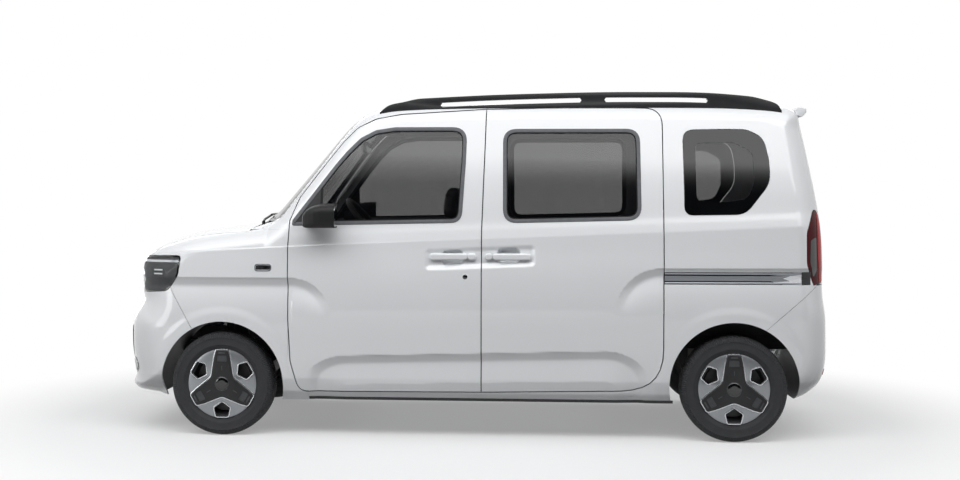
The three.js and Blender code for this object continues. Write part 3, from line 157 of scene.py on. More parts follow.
def offset(outline, distance):
    """The outline moved outwards by a distance, or inwards if it is negative."""
    p = np.array(outline, float)
    before, after = np.roll(p, 1, 0), np.roll(p, -1, 0)
    area = np.sum(p[:, 0] * after[:, 1] - p[:, 1] * after[:, 0])
    side = 1 if area > 0 else -1

    def normal(d):
        n = np.stack([d[:, 1], -d[:, 0]], 1)
        return n / np.linalg.norm(n, axis=1, keepdims=True)

    n = normal(p - before) + normal(after - p)
    n /= np.maximum(0.25, np.sum(n * n, 1) / 2)[:, None]
    return [tuple(q) for q in p + side * distance * n]


def spaced(*spans):
    """Stations over spans of (from, to, step), each step near the one asked for."""
    out = [spans[0][0]]
    for low, high, step in spans:
        count = max(1, round(abs(high - low) / step))
        out += list(np.linspace(low, high, count + 1)[1:])
    return np.array(out)


# ------------------------------------------------------------------ the body's surface
# Centreline outline. Columns: behind the nose, height.
NOSE_LINE = (
    (0.150, 0.190), (0.040, 0.208), (0.004, 0.240), (0.001, 0.256), (0.016, 0.300), (0.006, 0.380), (0.000, 0.450),
    (0.000, 0.545), (0.014, 0.610), (0.048, 0.662), (0.060, 0.700), (0.050, 0.752), (0.046, 0.850), (0.060, 0.905),
    (0.092, 0.942), (0.140, 0.972), (0.207, 1.004), (0.350, 1.044), (0.560, 1.074), (0.690, 1.088),
)
SCREEN_LINE = (
    (0.780, 1.160), (0.960, 1.372), (1.120, 1.560), (1.200, 1.636), (1.290, 1.688), (1.420, 1.718), (1.640, 1.731),
    (1.900, ROOF_HEIGHT),
)
# Columns: ahead of the tail, height.
TAIL_LINE = (
    (1.150, ROOF_HEIGHT), (0.700, 1.732), (0.400, 1.724), (0.220, 1.714), (0.168, 1.702), (0.136, 1.672),
    (0.120, 1.610), (0.080, 1.420), (0.040, 1.210), (0.022, 1.060), (0.018, 0.900), (0.016, 0.740), (0.003, 0.640),
    (0.000, 0.560), (0.002, 0.400), (0.030, 0.300), (0.090, 0.240), (0.160, 0.205), (0.240, 0.190),
)
UNDERSIDE = -0.3  # the skin's sides run on past the ground


def centreline():
    nose = spline([(NOSE - d, z) for d, z in NOSE_LINE])
    screen = spline([(NOSE - d, z) for d, z in SCREEN_LINE])
    tail = spline([(TAIL + d, z) for d, z in TAIL_LINE])
    return np.vstack([(nose[0, 0], UNDERSIDE), nose, screen, tail, (tail[-1, 0], UNDERSIDE)])


class DistanceMap:
    """Signed distance to a closed outline, worked out on a lattice and read between its points."""

    STEP = 0.005

    def __init__(self, outline):
        margin = 0.16
        self.low = outline.min(0) - margin
        size = ((outline.max(0) + margin - self.low) / self.STEP).astype(int) + 2
        xs = self.low[0] + self.STEP * np.arange(size[0])
        zs = self.low[1] + self.STEP * np.arange(size[1])
        x, z = (g.ravel() for g in np.meshgrid(xs, zs, indexing="ij"))
        nearest = np.full(len(x), np.inf)
        inside = np.zeros(len(x), bool)
        for a, b in zip(np.roll(outline, 1, 0), outline):
            d = b - a
            t = np.clip(((x - a[0]) * d[0] + (z - a[1]) * d[1]) / max(d @ d, 1e-12), 0, 1)
            nearest = np.minimum(nearest, (x - a[0] - t * d[0]) ** 2 + (z - a[1] - t * d[1]) ** 2)
            if a[1] != b[1]:
                crossing = (a[1] > z) != (b[1] > z)
                inside ^= crossing & (x < a[0] + (z - a[1]) / d[1] * d[0])
        self.grid = (np.sqrt(nearest) * np.where(inside, -1, 1)).reshape(size)

    def __call__(self, x, z):
        u = np.clip((x - self.low[0]) / self.STEP, 0, self.grid.shape[0] - 1.001)
        v = np.clip((z - self.low[1]) / self.STEP, 0, self.grid.shape[1] - 1.001)
        i, j = u.astype(int), v.astype(int)
        s, t = u - i, v - j
        g = self.grid
        return ((g[i, j] * (1 - s) + g[i + 1, j] * s) * (1 - t)
                + (g[i, j + 1] * (1 - s) + g[i + 1, j + 1] * s) * t)


outline_distance = DistanceMap(centreline())

CREASE_AT = 0.343
CREASE_HEIGHT = 1.000
RAIL_LINE = 1.675  # the side section ends here and the roof edge begins


def crease_height(x):
    """Height of the shoulder crease, which rises to the rear."""
    ahead = np.maximum(0, x - CREASE_AT)
    return CREASE_HEIGHT - 0.04 * (x - CREASE_AT) - 0.01 * ahead**2


# Inset from the widest line below the crease, by height, and above it, by share of the way up to the rail line.
lower_side = through(((0.301, 0.016), (0.440, 0.012), (0.620, 0.009), (0.760, 0.012), (0.870, 0.016), (0.960, 0.020),
                      (1.080, 0.021)))
upper_side = through(((0, 0.025), (0.06, 0.0335), (0.13, 0.0445), (0.3, 0.062), (0.5, 0.086), (0.78, 0.126),
                      (1, 0.160), (1.2, 0.196)))
# How far the belly under the crease stands out, by distance below the crease.
belly = through(((0, -0.004), (0.10, -0.001), (0.16, 0.0012), (0.21, 0.0026), (0.27, 0.0032), (0.32, 0.0032),
                 (0.40, 0.0020), (0.50, 0)))
SILL_FOLD = 0.301  # below this the doors tuck in, and again below their lower edge
SILL_TUCK = 0.23

# A feature line that runs level and drops in a quarter ellipse. Columns: height, where it bends, reach along, drop,
# and the direction of its level end.
FENDER_LINE = (0.815, 0.900, 0.205, 0.215, 1)
REAR_LINE = (0.872, -0.970, 0.235, 0.250, -1)
LINE_DEPTH = 0.025
LINE_WIDTH = 0.046
SCALLOP = {"front": 0.610, "rear": -0.690, "reach": 0.235, "foot": 0.262, "front_top": 0.422, "rear_top": 0.456}
SCALLOP_DEPTH = 0.019
SCALLOP_BACK = 0.105  # below its fold the scallop comes back out evenly over this height
FLARE_RADIUS = 0.404
FLARE_RISE = 0.005
# Hand recesses: front and rear end, lowest and highest line, how deep, and how wide the wall is.
BOWLS = ((0.222, -0.350, 0.862, 0.980, 0.012, 0.032), (0.135, 0.020, 0.884, 0.965, 0.030, 0.012),
         (-0.148, -0.267, 0.884, 0.965, 0.030, 0.012))


def groove(inside, depth, width, left):
    """A relief that falls from a crisp line over its width. Past that, a function gives the share that is left."""
    t = np.maximum(inside, 0) / width
    bend = np.sqrt((t - 1) ** 2 + 0.03)
    fall, past = (t + 1 - bend) / 2, (t - 1 + bend) / 2 * width
    return -depth * np.maximum(fall, 0) * left(past) * smooth(inside, 0, 0.006)


def line_relief(x, z, line):
    height, bend, along, drop, towards = line
    past = (bend - x) * towards
    low = height - drop
    curved = (1 - np.hypot(past / along, np.maximum(0, z - low) / drop)) * drop
    inside = np.where(past > 0, curved, height - z)
    strength = np.where(past > 0, smooth(z, low, low + 0.75 * drop), 1)
    return strength * groove(inside, LINE_DEPTH, LINE_WIDTH, lambda past: np.exp(-past / 0.100))


def scallop_relief(x, z):
    """The long scallop low on the doors."""
    s = SCALLOP
    share = np.clip((s["front"] - x) / (s["front"] - s["rear"]), 0, 1)
    rise = s["front_top"] + share * (s["rear_top"] - s["front_top"]) - s["foot"]
    past = np.maximum(0, np.maximum(x - s["front"], s["rear"] - x))
    inside = (1 - np.hypot(past / s["reach"], np.maximum(0, z - s["foot"]) / rise)) * rise
    relief = groove(inside, SCALLOP_DEPTH, LINE_WIDTH, lambda d: np.clip(1 - d / SCALLOP_BACK, 0, 1))
    return relief * (1 - smooth(past, 0.6 * s["reach"], s["reach"]))


def flare_relief(x, z):
    """The raised band round each wheel arch."""
    rise = 0
    for ax, az in ARCHES:
        rise = rise + FLARE_RISE * (1 - smooth(np.hypot(x - ax, z - az), FLARE_RADIUS - 0.046, FLARE_RADIUS))
    return rise * smooth(z, 0.18, 0.30)


def bowl_relief(x, z):
    """Hand recesses behind the door handles: one long dish with two deeper cups, level with the crease."""
    relief = 0
    level = z + 0.04 * (x + 0.064)
    for front, rear, low, high, depth, wall in BOWLS:
        corner = 0.030
        dx = np.abs(x - (front + rear) / 2) - (front - rear) / 2 + corner
        dz = np.abs(level - (low + high) / 2) - (high - low) / 2 + corner
        edge = np.hypot(np.maximum(dx, 0), np.maximum(dz, 0)) + np.minimum(np.maximum(dx, dz), 0) - corner
        relief = relief - depth * (1 - smooth(edge, -wall, 0))
    return relief


def half_width(x, z):
    crease = crease_height(x)
    low = (lower_side(z) - belly(crease - z) + SILL_TUCK * np.maximum(0, SILL_FOLD - z)
           + 0.30 * np.maximum(0, 0.236 - z))
    inset = np.where(z < crease, low, upper_side((z - crease) / (RAIL_LINE - crease)))
    taper = 0.042 * (np.maximum(0, x - 0.9) / 0.8) ** 2 + 0.026 * (np.maximum(0, -x - 1.2) / 0.55) ** 2
    relief = (line_relief(x, z, FENDER_LINE) + line_relief(x, z, REAR_LINE) + scallop_relief(x, z)
              + flare_relief(x, z) + bowl_relief(x, z))
    return HALF_WIDTH - inset - taper + relief


def bowed(x, y, z):
    """How far the front, screen and rear bow back, and the roof and bonnet fall, towards the sides."""
    front = smooth(x, 0.150, 0.800) / 2.700
    rear = smooth(-x, 1.300, 1.700) / 4.600
    crown = smooth(z, 0.850, 0.960) / np.where(x > 1.050, 9.0, 5.6)
    return x + y * y * (front - rear) / 2, z + y * y * crown / 2


def edge_radius(x, z):
    corner = smooth(x, 1.300, 1.600) * (1 - smooth(z, 0.860, 0.980))
    tail = smooth(-x, 1.450, 1.650) * (1 - smooth(z, 1.560, 1.680))
    return 0.078 + 0.095 * corner + 0.045 * tail


def body_field(p):
    """The body as one implicit solid: negative inside, and near the true distance close to the skin."""
    x, y, z = p[..., 0], p[..., 1], p[..., 2]
    side = np.abs(y) - half_width(x, z)
    face = outline_distance(*bowed(x, y, z))
    radius = edge_radius(x, z)
    a, b = side + radius, face + radius
    return np.where((a > 0) & (b > 0), np.hypot(a, b) - radius, np.maximum(side, face))


def on_skin(start, direction, depth=0.0, reach=1.2):
    """Where rays from inside the body meet the skin, or a surface that deep inside it."""
    near = np.zeros(len(start))
    far = np.full(len(start), reach)
    for _ in range(18):
        t = (near + far) / 2
        inside = body_field(start + direction * t[:, None]) < -depth
        near, far = np.where(inside, t, near), np.where(inside, far, t)
    return start + direction * far[:, None]


def skin_normals(p):
    """Outward normals of the skin, from the field's slope."""
    e = 0.0015
    n = np.stack([body_field(p + d) - body_field(p - d) for d in np.eye(3) * e], -1)
    return n / np.maximum(np.linalg.norm(n, axis=-1, keepdims=True), 1e-9)


# ------------------------------------------------------------------ sheets, shells and cuts
BAND_FOOT = 0.860  # above this the rows of the side follow the shoulder crease
# Rows of the side. Below 10: a height. Above 10: 10 to 11 from the band's foot to the crease, 11 to 12 on to the
# rail line.
SIDE_ROWS = np.concatenate([
    spaced((0.187, 0.236, 0.012), (0.236, SILL_FOLD, 0.009), (SILL_FOLD, 0.470, 0.008), (0.470, 0.600, 0.018),
           (0.600, BAND_FOOT, 0.008)),
    10 + spaced((0, 1, 0.040))[1:],
    11 + spaced((0, 0.16, 0.0125), (0.16, 0.88, 0.036), (0.88, 1.08, 0.014))[1:],
])
# Columns of the side, closer where a relief bends along the car.
SIDE_COLUMNS = spaced((-1.846, -1.600, 0.010), (-1.600, -0.980, 0.015), (-0.980, -0.730, 0.008),
                      (-0.730, -0.372, 0.015), (-0.372, 0.240, 0.006), (0.240, 0.660, 0.015),
                      (0.660, 0.920, 0.008), (0.920, 1.290, 0.015), (1.290, 1.800, 0.010))


def row_height(x, row):
    crease = crease_height(x)
    band = BAND_FOOT + (row - 10) * (crease - BAND_FOOT)
    return np.where(row < 10, row, np.where(row < 11, band, crease + (row - 11) * (RAIL_LINE - crease)))


def side_ray(x, row, depth):
    """Outward rays through the side. Past the car's outline they are drawn back to the edge of the skin."""
    x, z = x.copy(), row_height(x, row)

    def face(dx, dz):
        ridge = half_width(x, z) - edge_radius(x, z)
        return outline_distance(*bowed(x + dx, ridge, z + dz))

    e = 0.001
    for _ in range(5):
        past = np.maximum(0, face(0, 0) + depth + 0.001)
        slope_x, slope_z = (face(e, 0) - face(-e, 0)) / (2 * e), (face(0, e) - face(0, -e)) / (2 * e)
        x, z = x - past * slope_x, z - past * slope_z
    zero = np.zeros_like(x)
    return np.stack([x, zero, z], 1), np.stack([zero, zero + 1, zero], 1)


def up_ray(x, y, depth):
    zero = np.zeros_like(x)
    return np.stack([x, y, zero + 0.6], 1), np.stack([zero, zero, zero + 1], 1)


def turning_ray(centre):
    """Level rays that turn about an upright line on the middle of the car, by angle to the left of forward."""
    def ray(angle, z, depth):
        zero = np.zeros_like(z)
        return np.stack([zero + centre, zero, z], 1), np.stack([np.cos(angle), np.sin(angle), zero], 1)
    return ray


def fanning_ray(x0, z0):
    """Rays in upright planes along the car, by distance from its middle and angle above forward."""
    def ray(y, angle, depth):
        zero = np.zeros_like(y)
        return np.stack([zero + x0, y, zero + z0], 1), np.stack([np.cos(angle), zero, np.sin(angle)], 1)
    return ray


def screen_half(z):
    """Half width of the windscreen opening at a height."""
    return 0.668 - (z - 1.102) * (0.668 - 0.560) / (1.652 - 1.102)


def screen_ray(share, z, depth):
    zero = np.zeros_like(z)
    return np.stack([zero + 0.2, share * (screen_half(z) + 0.008), z], 1), np.stack([zero + 1, zero, zero], 1)


def across_ray(x, z, depth):
    """Level rays straight out through the side."""
    zero = np.zeros_like(x)
    return np.stack([x, zero, z], 1), np.stack([zero, zero + 1, zero], 1)


def new_object(name, mesh):
    piece = bpy.data.objects.new(name, mesh)
    bpy.context.scene.collection.objects.link(piece)
    return piece


def to_object(name, bm):
    mesh = bpy.data.meshes.new(name)
    bm.to_mesh(mesh)
    bm.free()
    return new_object(name, mesh)


def per_item(items, what):
    """A vector of each vertex or face of a mesh, as rows."""
    values = np.empty(len(items) * 3)
    items.foreach_get(what, values)
    return values.reshape(-1, 3)


def coordinates(mesh):
    return per_item(mesh.vertices, "co")


def shape_mesh(mesh, co):
    mesh.vertices.foreach_set("co", co.ravel())
    mesh.update()


def skin_shell(name, columns, rows, ray, depth, thickness):
    """A closed shell that follows the skin from a depth inwards."""
    bm = bmesh.new()
    m, n = len(columns) - 1, len(rows) - 1
    bmesh.ops.create_grid(bm, x_segments=m, y_segments=n, size=0.5)
    grown = bmesh.ops.extrude_face_region(bm, geom=bm.faces[:], use_keep_orig=True)["geom"]
    bmesh.ops.translate(bm, vec=(0, 0, 1), verts=[v for v in grown if isinstance(v, bmesh.types.BMVert)])
    flat = np.array([v.co for v in bm.verts])
    u = np.array(columns)[np.rint((flat[:, 0] + 0.5) * m).astype(int)]
    v = np.array(rows)[np.rint((flat[:, 1] + 0.5) * n).astype(int)]
    below = depth + thickness * flat[:, 2]
    for vert, co in zip(bm.verts, on_skin(*ray(u, v, below), below)):
        vert.co = co
    if bm.calc_volume(signed=True) < 0:
        bmesh.ops.reverse_faces(bm, faces=bm.faces)
    return to_object(name, bm)


# Where an outline's two directions and its depth lie, by the axis it is drawn out along.
DRAWN_ALONG = {"X": lambda a, b, c: (c, a, b), "Y": lambda a, b, c: (a, c, b), "Z": lambda a, b, c: (a, b, c)}


def prism(name, outline, axis, low, high):
    """A closed outline drawn out along an axis. It is drawn in x-z for Y, in y-z for X and in x-y for Z."""
    place = DRAWN_ALONG[axis]
    bm = bmesh.new()
    face = bm.faces.new([bm.verts.new(place(a, b, low)) for a, b in outline])
    grown = bmesh.ops.extrude_face_region(bm, geom=[face])["geom"]
    along = Vector(place(0, 0, high - low))
    bmesh.ops.translate(bm, vec=along, verts=[v for v in grown if isinstance(v, bmesh.types.BMVert)])
    bmesh.ops.recalc_face_normals(bm, faces=bm.faces)
    return to_object(name, bm)


def drum(name, x, z, radius, low, high, sides=96):
    """A cylinder across the car."""
    return prism(name, ring_outline(x, z, radius, sides), "Y", low, high)


def block(name, low, high):
    """A plain box between two corners, for cutting and as a start for other shapes."""
    (x0, y0, z0), (x1, y1, z1) = low, high
    return prism(name, [(x0, z0), (x1, z0), (x1, z1), (x0, z1)], "Y", y0, y1)


def apply_modifiers(piece):
    graph = bpy.context.evaluated_depsgraph_get()
    made = bpy.data.meshes.new_from_object(piece.evaluated_get(graph))
    old = piece.data
    piece.modifiers.clear()
    piece.data = made
    bpy.data.meshes.remove(old)
    return piece


def discard(*pieces):
    for piece in pieces:
        mesh = piece.data
        bpy.data.objects.remove(piece)
        bpy.data.meshes.remove(mesh)


def combine(piece, *steps):
    """Cuts and joins: each step is ("INTERSECT", "DIFFERENCE" or "UNION", tool). The tools are used up."""
    for how, tool in steps:
        cut = piece.modifiers.new(how.lower(), "BOOLEAN")
        cut.operation, cut.object, cut.solver = how, tool, "MANIFOLD"
    apply_modifiers(piece)
    discard(*{tool.name: tool for _, tool in steps}.values())
    return piece


def flipped(piece, name):
    """The mirror image of a piece on the car's other side."""
    mesh = piece.data.copy()
    mesh.name = name
    mesh.transform(Matrix.Scale(-1, 4, (0, 1, 0)))
    mesh.flip_normals()
    return new_object(name, mesh)


def less_both(tool):
    """Steps that cut a tool's form away on both sides of the car."""
    return ("DIFFERENCE", tool), ("DIFFERENCE", flipped(tool, f"{tool.name}_right"))


def shade(piece, angle=35):
    """Smooth faces, with edges kept sharp where they turn by more than an angle."""
    mesh = piece.data
    mesh.shade_smooth()
    mesh.set_sharp_from_angle(angle=math.radians(angle))
    return piece


def polish(piece, depth=0.0):
    """Gives what lies on the skin the skin's own normals, so that highlights run on from panel to panel."""
    mesh = shade(piece).data
    centres, facing = per_item(mesh.polygons, "center"), per_item(mesh.polygons, "normal")
    near = np.abs(body_field(centres) + depth) < 0.002
    near &= np.sum(skin_normals(centres) * facing, 1) > 0.8
    loops = np.empty(len(mesh.loops), int)
    mesh.loops.foreach_get("vertex_index", loops)
    starts = np.empty(len(mesh.polygons), int)
    mesh.polygons.foreach_get("loop_start", starts)
    totals = np.empty(len(mesh.polygons), int)
    mesh.polygons.foreach_get("loop_total", totals)
    on = np.repeat(near, totals)
    normals = np.zeros((len(loops), 3))
    normals[on] = skin_normals(coordinates(mesh)[loops[on]])
    mesh.normals_split_custom_set([tuple(n) for n in normals])


def dress(piece, body, material, stands_for=()):
    """Puts a finished piece on its body."""
    piece.data.materials.clear()
    for m in material if isinstance(material, (list, tuple)) else [material]:
        piece.data.materials.append(m)
    if stands_for:
        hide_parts(*stands_for)
    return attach(piece, body)


def spun(name, section, x, z, closed=True, segments=120):
    """A section of (radius, across) points turned about an axle. An open one starts and ends on the axle."""
    bm = bmesh.new()
    verts = [bm.verts.new((x, y, z + r)) for r, y in section]
    for a, b in zip(verts, verts[1:] + (verts[:1] if closed else [])):
        bm.edges.new((a, b))
    bmesh.ops.spin(bm, geom=bm.verts[:] + bm.edges[:], cent=(x, 0, z), axis=(0, 1, 0), angle=2 * math.pi,
                   steps=segments, use_merge=True, use_duplicate=False)
    bmesh.ops.remove_doubles(bm, verts=bm.verts, dist=1e-6)
    bmesh.ops.recalc_face_normals(bm, faces=bm.faces)
    return to_object(name, bm)


def patch(name, outline, depth, thickness, hole=None, ray=across_ray, axis="Y", spans=None, step=0.012):
    """A sheet that follows the skin and is cut to an outline, with an optional hole."""
    p = np.array(outline)
    if spans is None:
        (a0, b0), (a1, b1) = p.min(0) - 0.003, p.max(0) + 0.003
        spans = (a0, a1, step), (b0, b1, step)
    sheet = skin_shell(name, spaced(spans[0]), spaced(spans[1]), ray, depth, thickness)
    ends = (0.2, OUT) if axis == "Y" else (-2, 2)
    cuts = [("INTERSECT", prism("edge", outline, axis, *ends))]
    if hole:
        cuts.append(("DIFFERENCE", prism("hole", hole, axis, *ends)))
    return combine(sheet, *cuts)


def soften(piece, width, segments=2, angle=38):
    """Rounds the edges that turn by more than an angle."""
    bevel = piece.modifiers.new("bevel", "BEVEL")
    bevel.width, bevel.segments, bevel.limit_method, bevel.angle_limit = width, segments, "ANGLE", math.radians(angle)
    bevel.harden_normals = False
    return shade(apply_modifiers(piece))


def united(name, *pieces):
    """Several separate forms of one piece in one mesh."""
    bm = bmesh.new()
    for piece in pieces:
        bm.from_mesh(piece.data)
    discard(*pieces)
    return to_object(name, bm)


def rod(name, points, radius, sides=16):
    """A round bar through points."""
    curve = bpy.data.curves.new(name, "CURVE")
    curve.dimensions, curve.bevel_depth, curve.bevel_resolution, curve.use_fill_caps = "3D", radius, sides // 4, True
    line = curve.splines.new("POLY")
    line.points.add(len(points) - 1)
    for point, place in zip(line.points, points):
        point.co = (*place, 1)
    made = bpy.data.objects.new(name, curve)
    bpy.context.scene.collection.objects.link(made)
    mesh = bpy.data.meshes.new_from_object(made.evaluated_get(bpy.context.evaluated_depsgraph_get()))
    bpy.data.objects.remove(made)
    bpy.data.curves.remove(curve)
    return shade(new_object(name, mesh))


def tapered(name, outline, axis, stations):
    """An outline drawn out through stations of (place, scale, shift of its two directions) about its middle."""
    place = DRAWN_ALONG[axis]
    p = np.array(outline)
    middle = (p.min(0) + p.max(0)) / 2
    bm = bmesh.new()
    face = bm.faces.new([bm.verts.new((0, 0, 0)) for _ in outline])
    for number, (along, scale, shift) in enumerate(stations):
        if number:
            grown = bmesh.ops.extrude_face_region(bm, geom=[face])["geom"]
            face = next(g for g in grown if isinstance(g, bmesh.types.BMFace))
        for vert, (a, b) in zip(face.verts, (p - middle) * scale + middle + shift):
            vert.co = place(a, b, along)
    bmesh.ops.recalc_face_normals(bm, faces=bm.faces)
    return to_object(name, bm)


def lining_and_gap_shade(piece, thickness):
    """Gives the cabin side of a panel, and the depth of its cut edges, its second material. On the cut edges this is
    painted shade, so that shut lines and openings are drawn dark.
    """
    mesh = piece.data
    centres, facing = per_item(mesh.polygons, "center"), per_item(mesh.polygons, "normal")
    field, outward = body_field(centres), np.sum(skin_normals(centres) * facing, 1)
    # Cut edges deeper than 3 mm take the second material, dark on most panels, as painted shade in the gaps.
    inner = ((field < -0.6 * thickness) & (outward < -0.5)) | ((field < -0.003) & (outward < 0.5))
    mesh.polygons.foreach_set("material_index", inner.astype(np.int32))


# ------------------------------------------------------------------ panel outlines
B_LINE = -0.066  # shut line between the front and the sliding door
C_LINE = -0.982  # rear shut line of the sliding door
INNER_EDGE = 0.545  # doors and side windows lie outboard of this
ROOF_JOINT = 0.520  # half width of the roof panel
COWL_JOINT = 1.060
TAILGATE_AXIS = (-1.662, 1.712)
OUT = 1.0  # farther out than any surface

FRONT_DOOR = rounded([
    (B_LINE, 0.242, 0), (0.862, 0.236, 0.060), (0.905, 0.390, 0.060), (0.917, 0.600, 0.080), (0.920, 0.960, 0.080),
    (0.915, 1.105, 0.060), (0.868, 1.225, 0.100), (0.735, 1.403, 0.100), (0.648, 1.512, 0.080), (0.575, 1.585, 0.080),
    (0.480, 1.630, 0.100), (0.350, 1.653, 0.100), (-0.088, 1.678, 0), (-0.082, 1.468, 0), (-0.068, 1.060, 0),
])
SLIDING_DOOR = rounded([
    (B_LINE - SHUT_LINE, 0.242, 0), (-0.068 - SHUT_LINE, 1.060, 0), (-0.082 - SHUT_LINE, 1.468, 0),
    (-0.088 - SHUT_LINE, 1.678, 0), (-0.480, 1.683, 0), (C_LINE, 1.680, 0.090), (C_LINE, 0.900, 0),
    (C_LINE + 0.004, 0.260, 0.210),
])
FRONT_WINDOW = rounded([
    (0.905, 1.082, 0.020), (0.900, 1.110, 0.030), (0.690, 1.388, 0.100), (0.628, 1.462, 0.080), (0.560, 1.530, 0.080),
    (0.480, 1.572, 0.080), (0.380, 1.587, 0.080),
    (0.008, 1.586, 0.075), (0.014, 1.400, 0), (0.033, 1.098, 0.060),
])
SLIDING_WINDOW = rounded([
    (-0.180, 1.096, 0.070), (-0.178, 1.576, 0.070), (-0.870, 1.574, 0.070), (-0.874, 1.112, 0.070),
])
QUARTER_WINDOW = rounded([
    (-1.088, 1.134, 0.045), (-1.084, 1.570, 0.060), (-1.300, 1.573, 0.060), (-1.405, 1.571, 0.120),
    (-1.490, 1.530, 0.110), (-1.513, 1.420, 0.120), (-1.519, 1.300, 0.140), (-1.392, 1.138, 0.110),
])


def bonnet_front(y):
    return 1.735 - 0.067 * (np.abs(y) / 0.560) ** 3.5


BONNET_HALF = [(1.136, 0.660), (1.325, 0.648), (1.512, 0.622), (1.600, 0.600)]
BONNET_HALF += [(float(bonnet_front(y)), y) for y in (0.560, 0.500, 0.420, 0.320, 0.200, 0.100, 0)]
BONNET = BONNET_HALF + [(x, -y) for x, y in BONNET_HALF[-2::-1]]
SCREEN = rounded([(0.668, 1.102, 0.040), (0.560, 1.652, 0.090), (-0.560, 1.652, 0.090), (-0.668, 1.102, 0.040)])
TAILGATE = rounded([
    (0.592, 0.632, 0.060), (0.590, 1.150, 0.200), (0.520, 1.700, 0), (0.520, 1.800, 0), (-0.520, 1.800, 0),
    (-0.520, 1.700, 0), (-0.590, 1.150, 0.200), (-0.592, 0.632, 0.060),
])
TAILGATE_WINDOW = rounded([
    (0.500, 1.120, 0.070), (0.455, 1.560, 0.070), (-0.455, 1.560, 0.070), (-0.500, 1.120, 0.070),
])
HEADLAMP_SIDE = rounded([(1.900, 0.918, 0), (1.484, 0.926, 0.022), (1.500, 0.820, 0.060), (1.560, 0.740, 0.060),
                         (1.745, 0.727, 0.030), (1.790, 0.775, 0.030), (1.900, 0.790, 0)])
HEADLAMP_END = rounded([(0.900, 0.935, 0), (0.392, 0.912, 0.040), (0.400, 0.735, 0.130), (0.900, 0.715, 0)])
TAILLAMP_SIDE = rounded([(-1.900, 1.180, 0), (-1.730, 1.165, 0.030), (-1.692, 1.050, 0.090), (-1.690, 0.890, 0.090),
                         (-1.735, 0.766, 0.030), (-1.900, 0.760, 0)])
TAILLAMP_END = rounded([(0.900, 1.190, 0), (0.612, 1.160, 0.030), (0.602, 0.800, 0.030), (0.900, 0.750, 0)])
BUMPER_SPLIT_FRONT = ((1.548, 0.760), (1.427, 0.554))  # from the lamp to the arch
BUMPER_SPLIT_REAR = ((-1.734, 0.775), (-1.502, 0.577))
TRACK_SLOT = {"low": 0.790, "high": 0.852, "rear": -1.694, "floor": 0.716}


def past_split(name, split, top, end, gap):
    """What lies past a bumper's split line, towards the car's end."""
    (xa, za), (xb, zb) = split

    def at(z):
        return xb + (z - zb) * (xa - xb) / (za - zb) + gap

    return prism(name, [(at(top), top), (end, top), (end, 0.1), (at(0.1), 0.1)], "Y", -OUT, OUT)


def lamp_block(name, side, end, gap, x0, x1):
    """The corner of the car that a lamp fills, from its side and end outlines."""
    return combine(prism(name, offset(side, gap), "Y", 0, OUT),
                   ("INTERSECT", prism("end", offset(end, gap), "X", x0, x1)))


def arch_drum(index, radius=ARCH_RADIUS):
    x, z = ARCHES[index]
    return drum("arch", x, z, radius, 0.38, OUT)


def mirrored_pair(name, piece, body, material, stands_for=(), on_skin_at=None):
    """Finishes a left-hand piece and its mirror image, and puts each on its body."""
    made = []
    for side, sign in SIDES:
        part = piece if sign > 0 else flipped(piece, f"{name}_right")
        part.name = f"{name}_{side}"
        if on_skin_at is not None:
            polish(part, on_skin_at)
        home = body if body == "root" else f"{body}_{side}"
        made.append(dress(part, home, material, stands_for=[f"{n}_{side}" for n in stands_for]))
    return made


# ------------------------------------------------------------------ sizes of the fittings
HANDLES = ((0.190, -0.044, 0.000), (-0.089, -0.321, -0.127))  # front end, rear end and the joint of each pull bar
HANDLE_BAR = (0.907, 0.943)
HANDLE_FACE = 0.756
SEAL_WIDTH = 0.017
GLASS_INSET = 0.006
SAIL_EDGE = 0.756  # upright bar between the mirror's sail and the front glass
QUARTER_CLEAR = rounded([
    (-1.150, 1.205, 0.035), (-1.146, 1.502, 0.035), (-1.340, 1.502, 0.060), (-1.432, 1.455, 0.050),
    (-1.437, 1.300, 0.060), (-1.400, 1.216, 0.060), (-1.300, 1.203, 0.060),
])
SEAT_Y = 0.365
CABIN_FLOOR = 0.3363
GRILLE = rounded([(0.430, 0.300, 0.025), (0.460, 0.430, 0.030), (-0.460, 0.430, 0.030), (-0.430, 0.300, 0.025)])
STEERING = {"x": 0.545, "y": 0.365, "z": 1.070, "radius": 0.178, "tilt": math.radians(40)}
WIPERS = (0.440, -0.330)


def ring_outline(a, b, radius, sides=48):
    turns = np.linspace(0, 2 * math.pi, sides + 1)[:-1]
    return [(a + radius * math.cos(t), b + radius * math.sin(t)) for t in turns]


def plate_outline(a0, a1, b0, b1, radius):
    return rounded([(a0, b0, radius), (a1, b0, radius), (a1, b1, radius), (a0, b1, radius)])


# ------------------------------------------------------------------ finishes
def linear(code):
    """An sRGB hex colour as linear red, green, blue and a full alpha."""
    srgb = [int(code[i:i + 2], 16) / 255 for i in (0, 2, 4)]
    return (*(c / 12.92 if c <= 0.04045 else ((c + 0.055) / 1.055) ** 2.4 for c in srgb), 1)


def add_node(tree, kind, settings=None, **inputs):
    """Adds a node, with attribute settings and inputs by name: a value, or a socket to link from."""
    made = tree.nodes.new(kind)
    for key, value in (settings or {}).items():
        setattr(made, key, value)
    for key, value in inputs.items():
        # A name such as _1 stands for a socket's number.
        socket = made.inputs[int(key[1:]) if key[0] == "_" else key.replace("_", " ")]
        if isinstance(value, bpy.types.NodeSocket):
            tree.links.new(value, socket)
        else:
            socket.default_value = value
    return made


def new_finish(name, **settings):
    """A material with a Principled shader, whose sockets take the settings."""
    material = bpy.data.materials.new(name)
    material.use_nodes = True
    tree = material.node_tree
    tree.nodes.clear()
    shader = add_node(tree, "ShaderNodeBsdfPrincipled", None, **settings)
    add_node(tree, "ShaderNodeOutputMaterial", None, Surface=shader.outputs["BSDF"])
    return material, tree, shader


def object_place(tree):
    return add_node(tree, "ShaderNodeTexCoord").outputs["Object"]


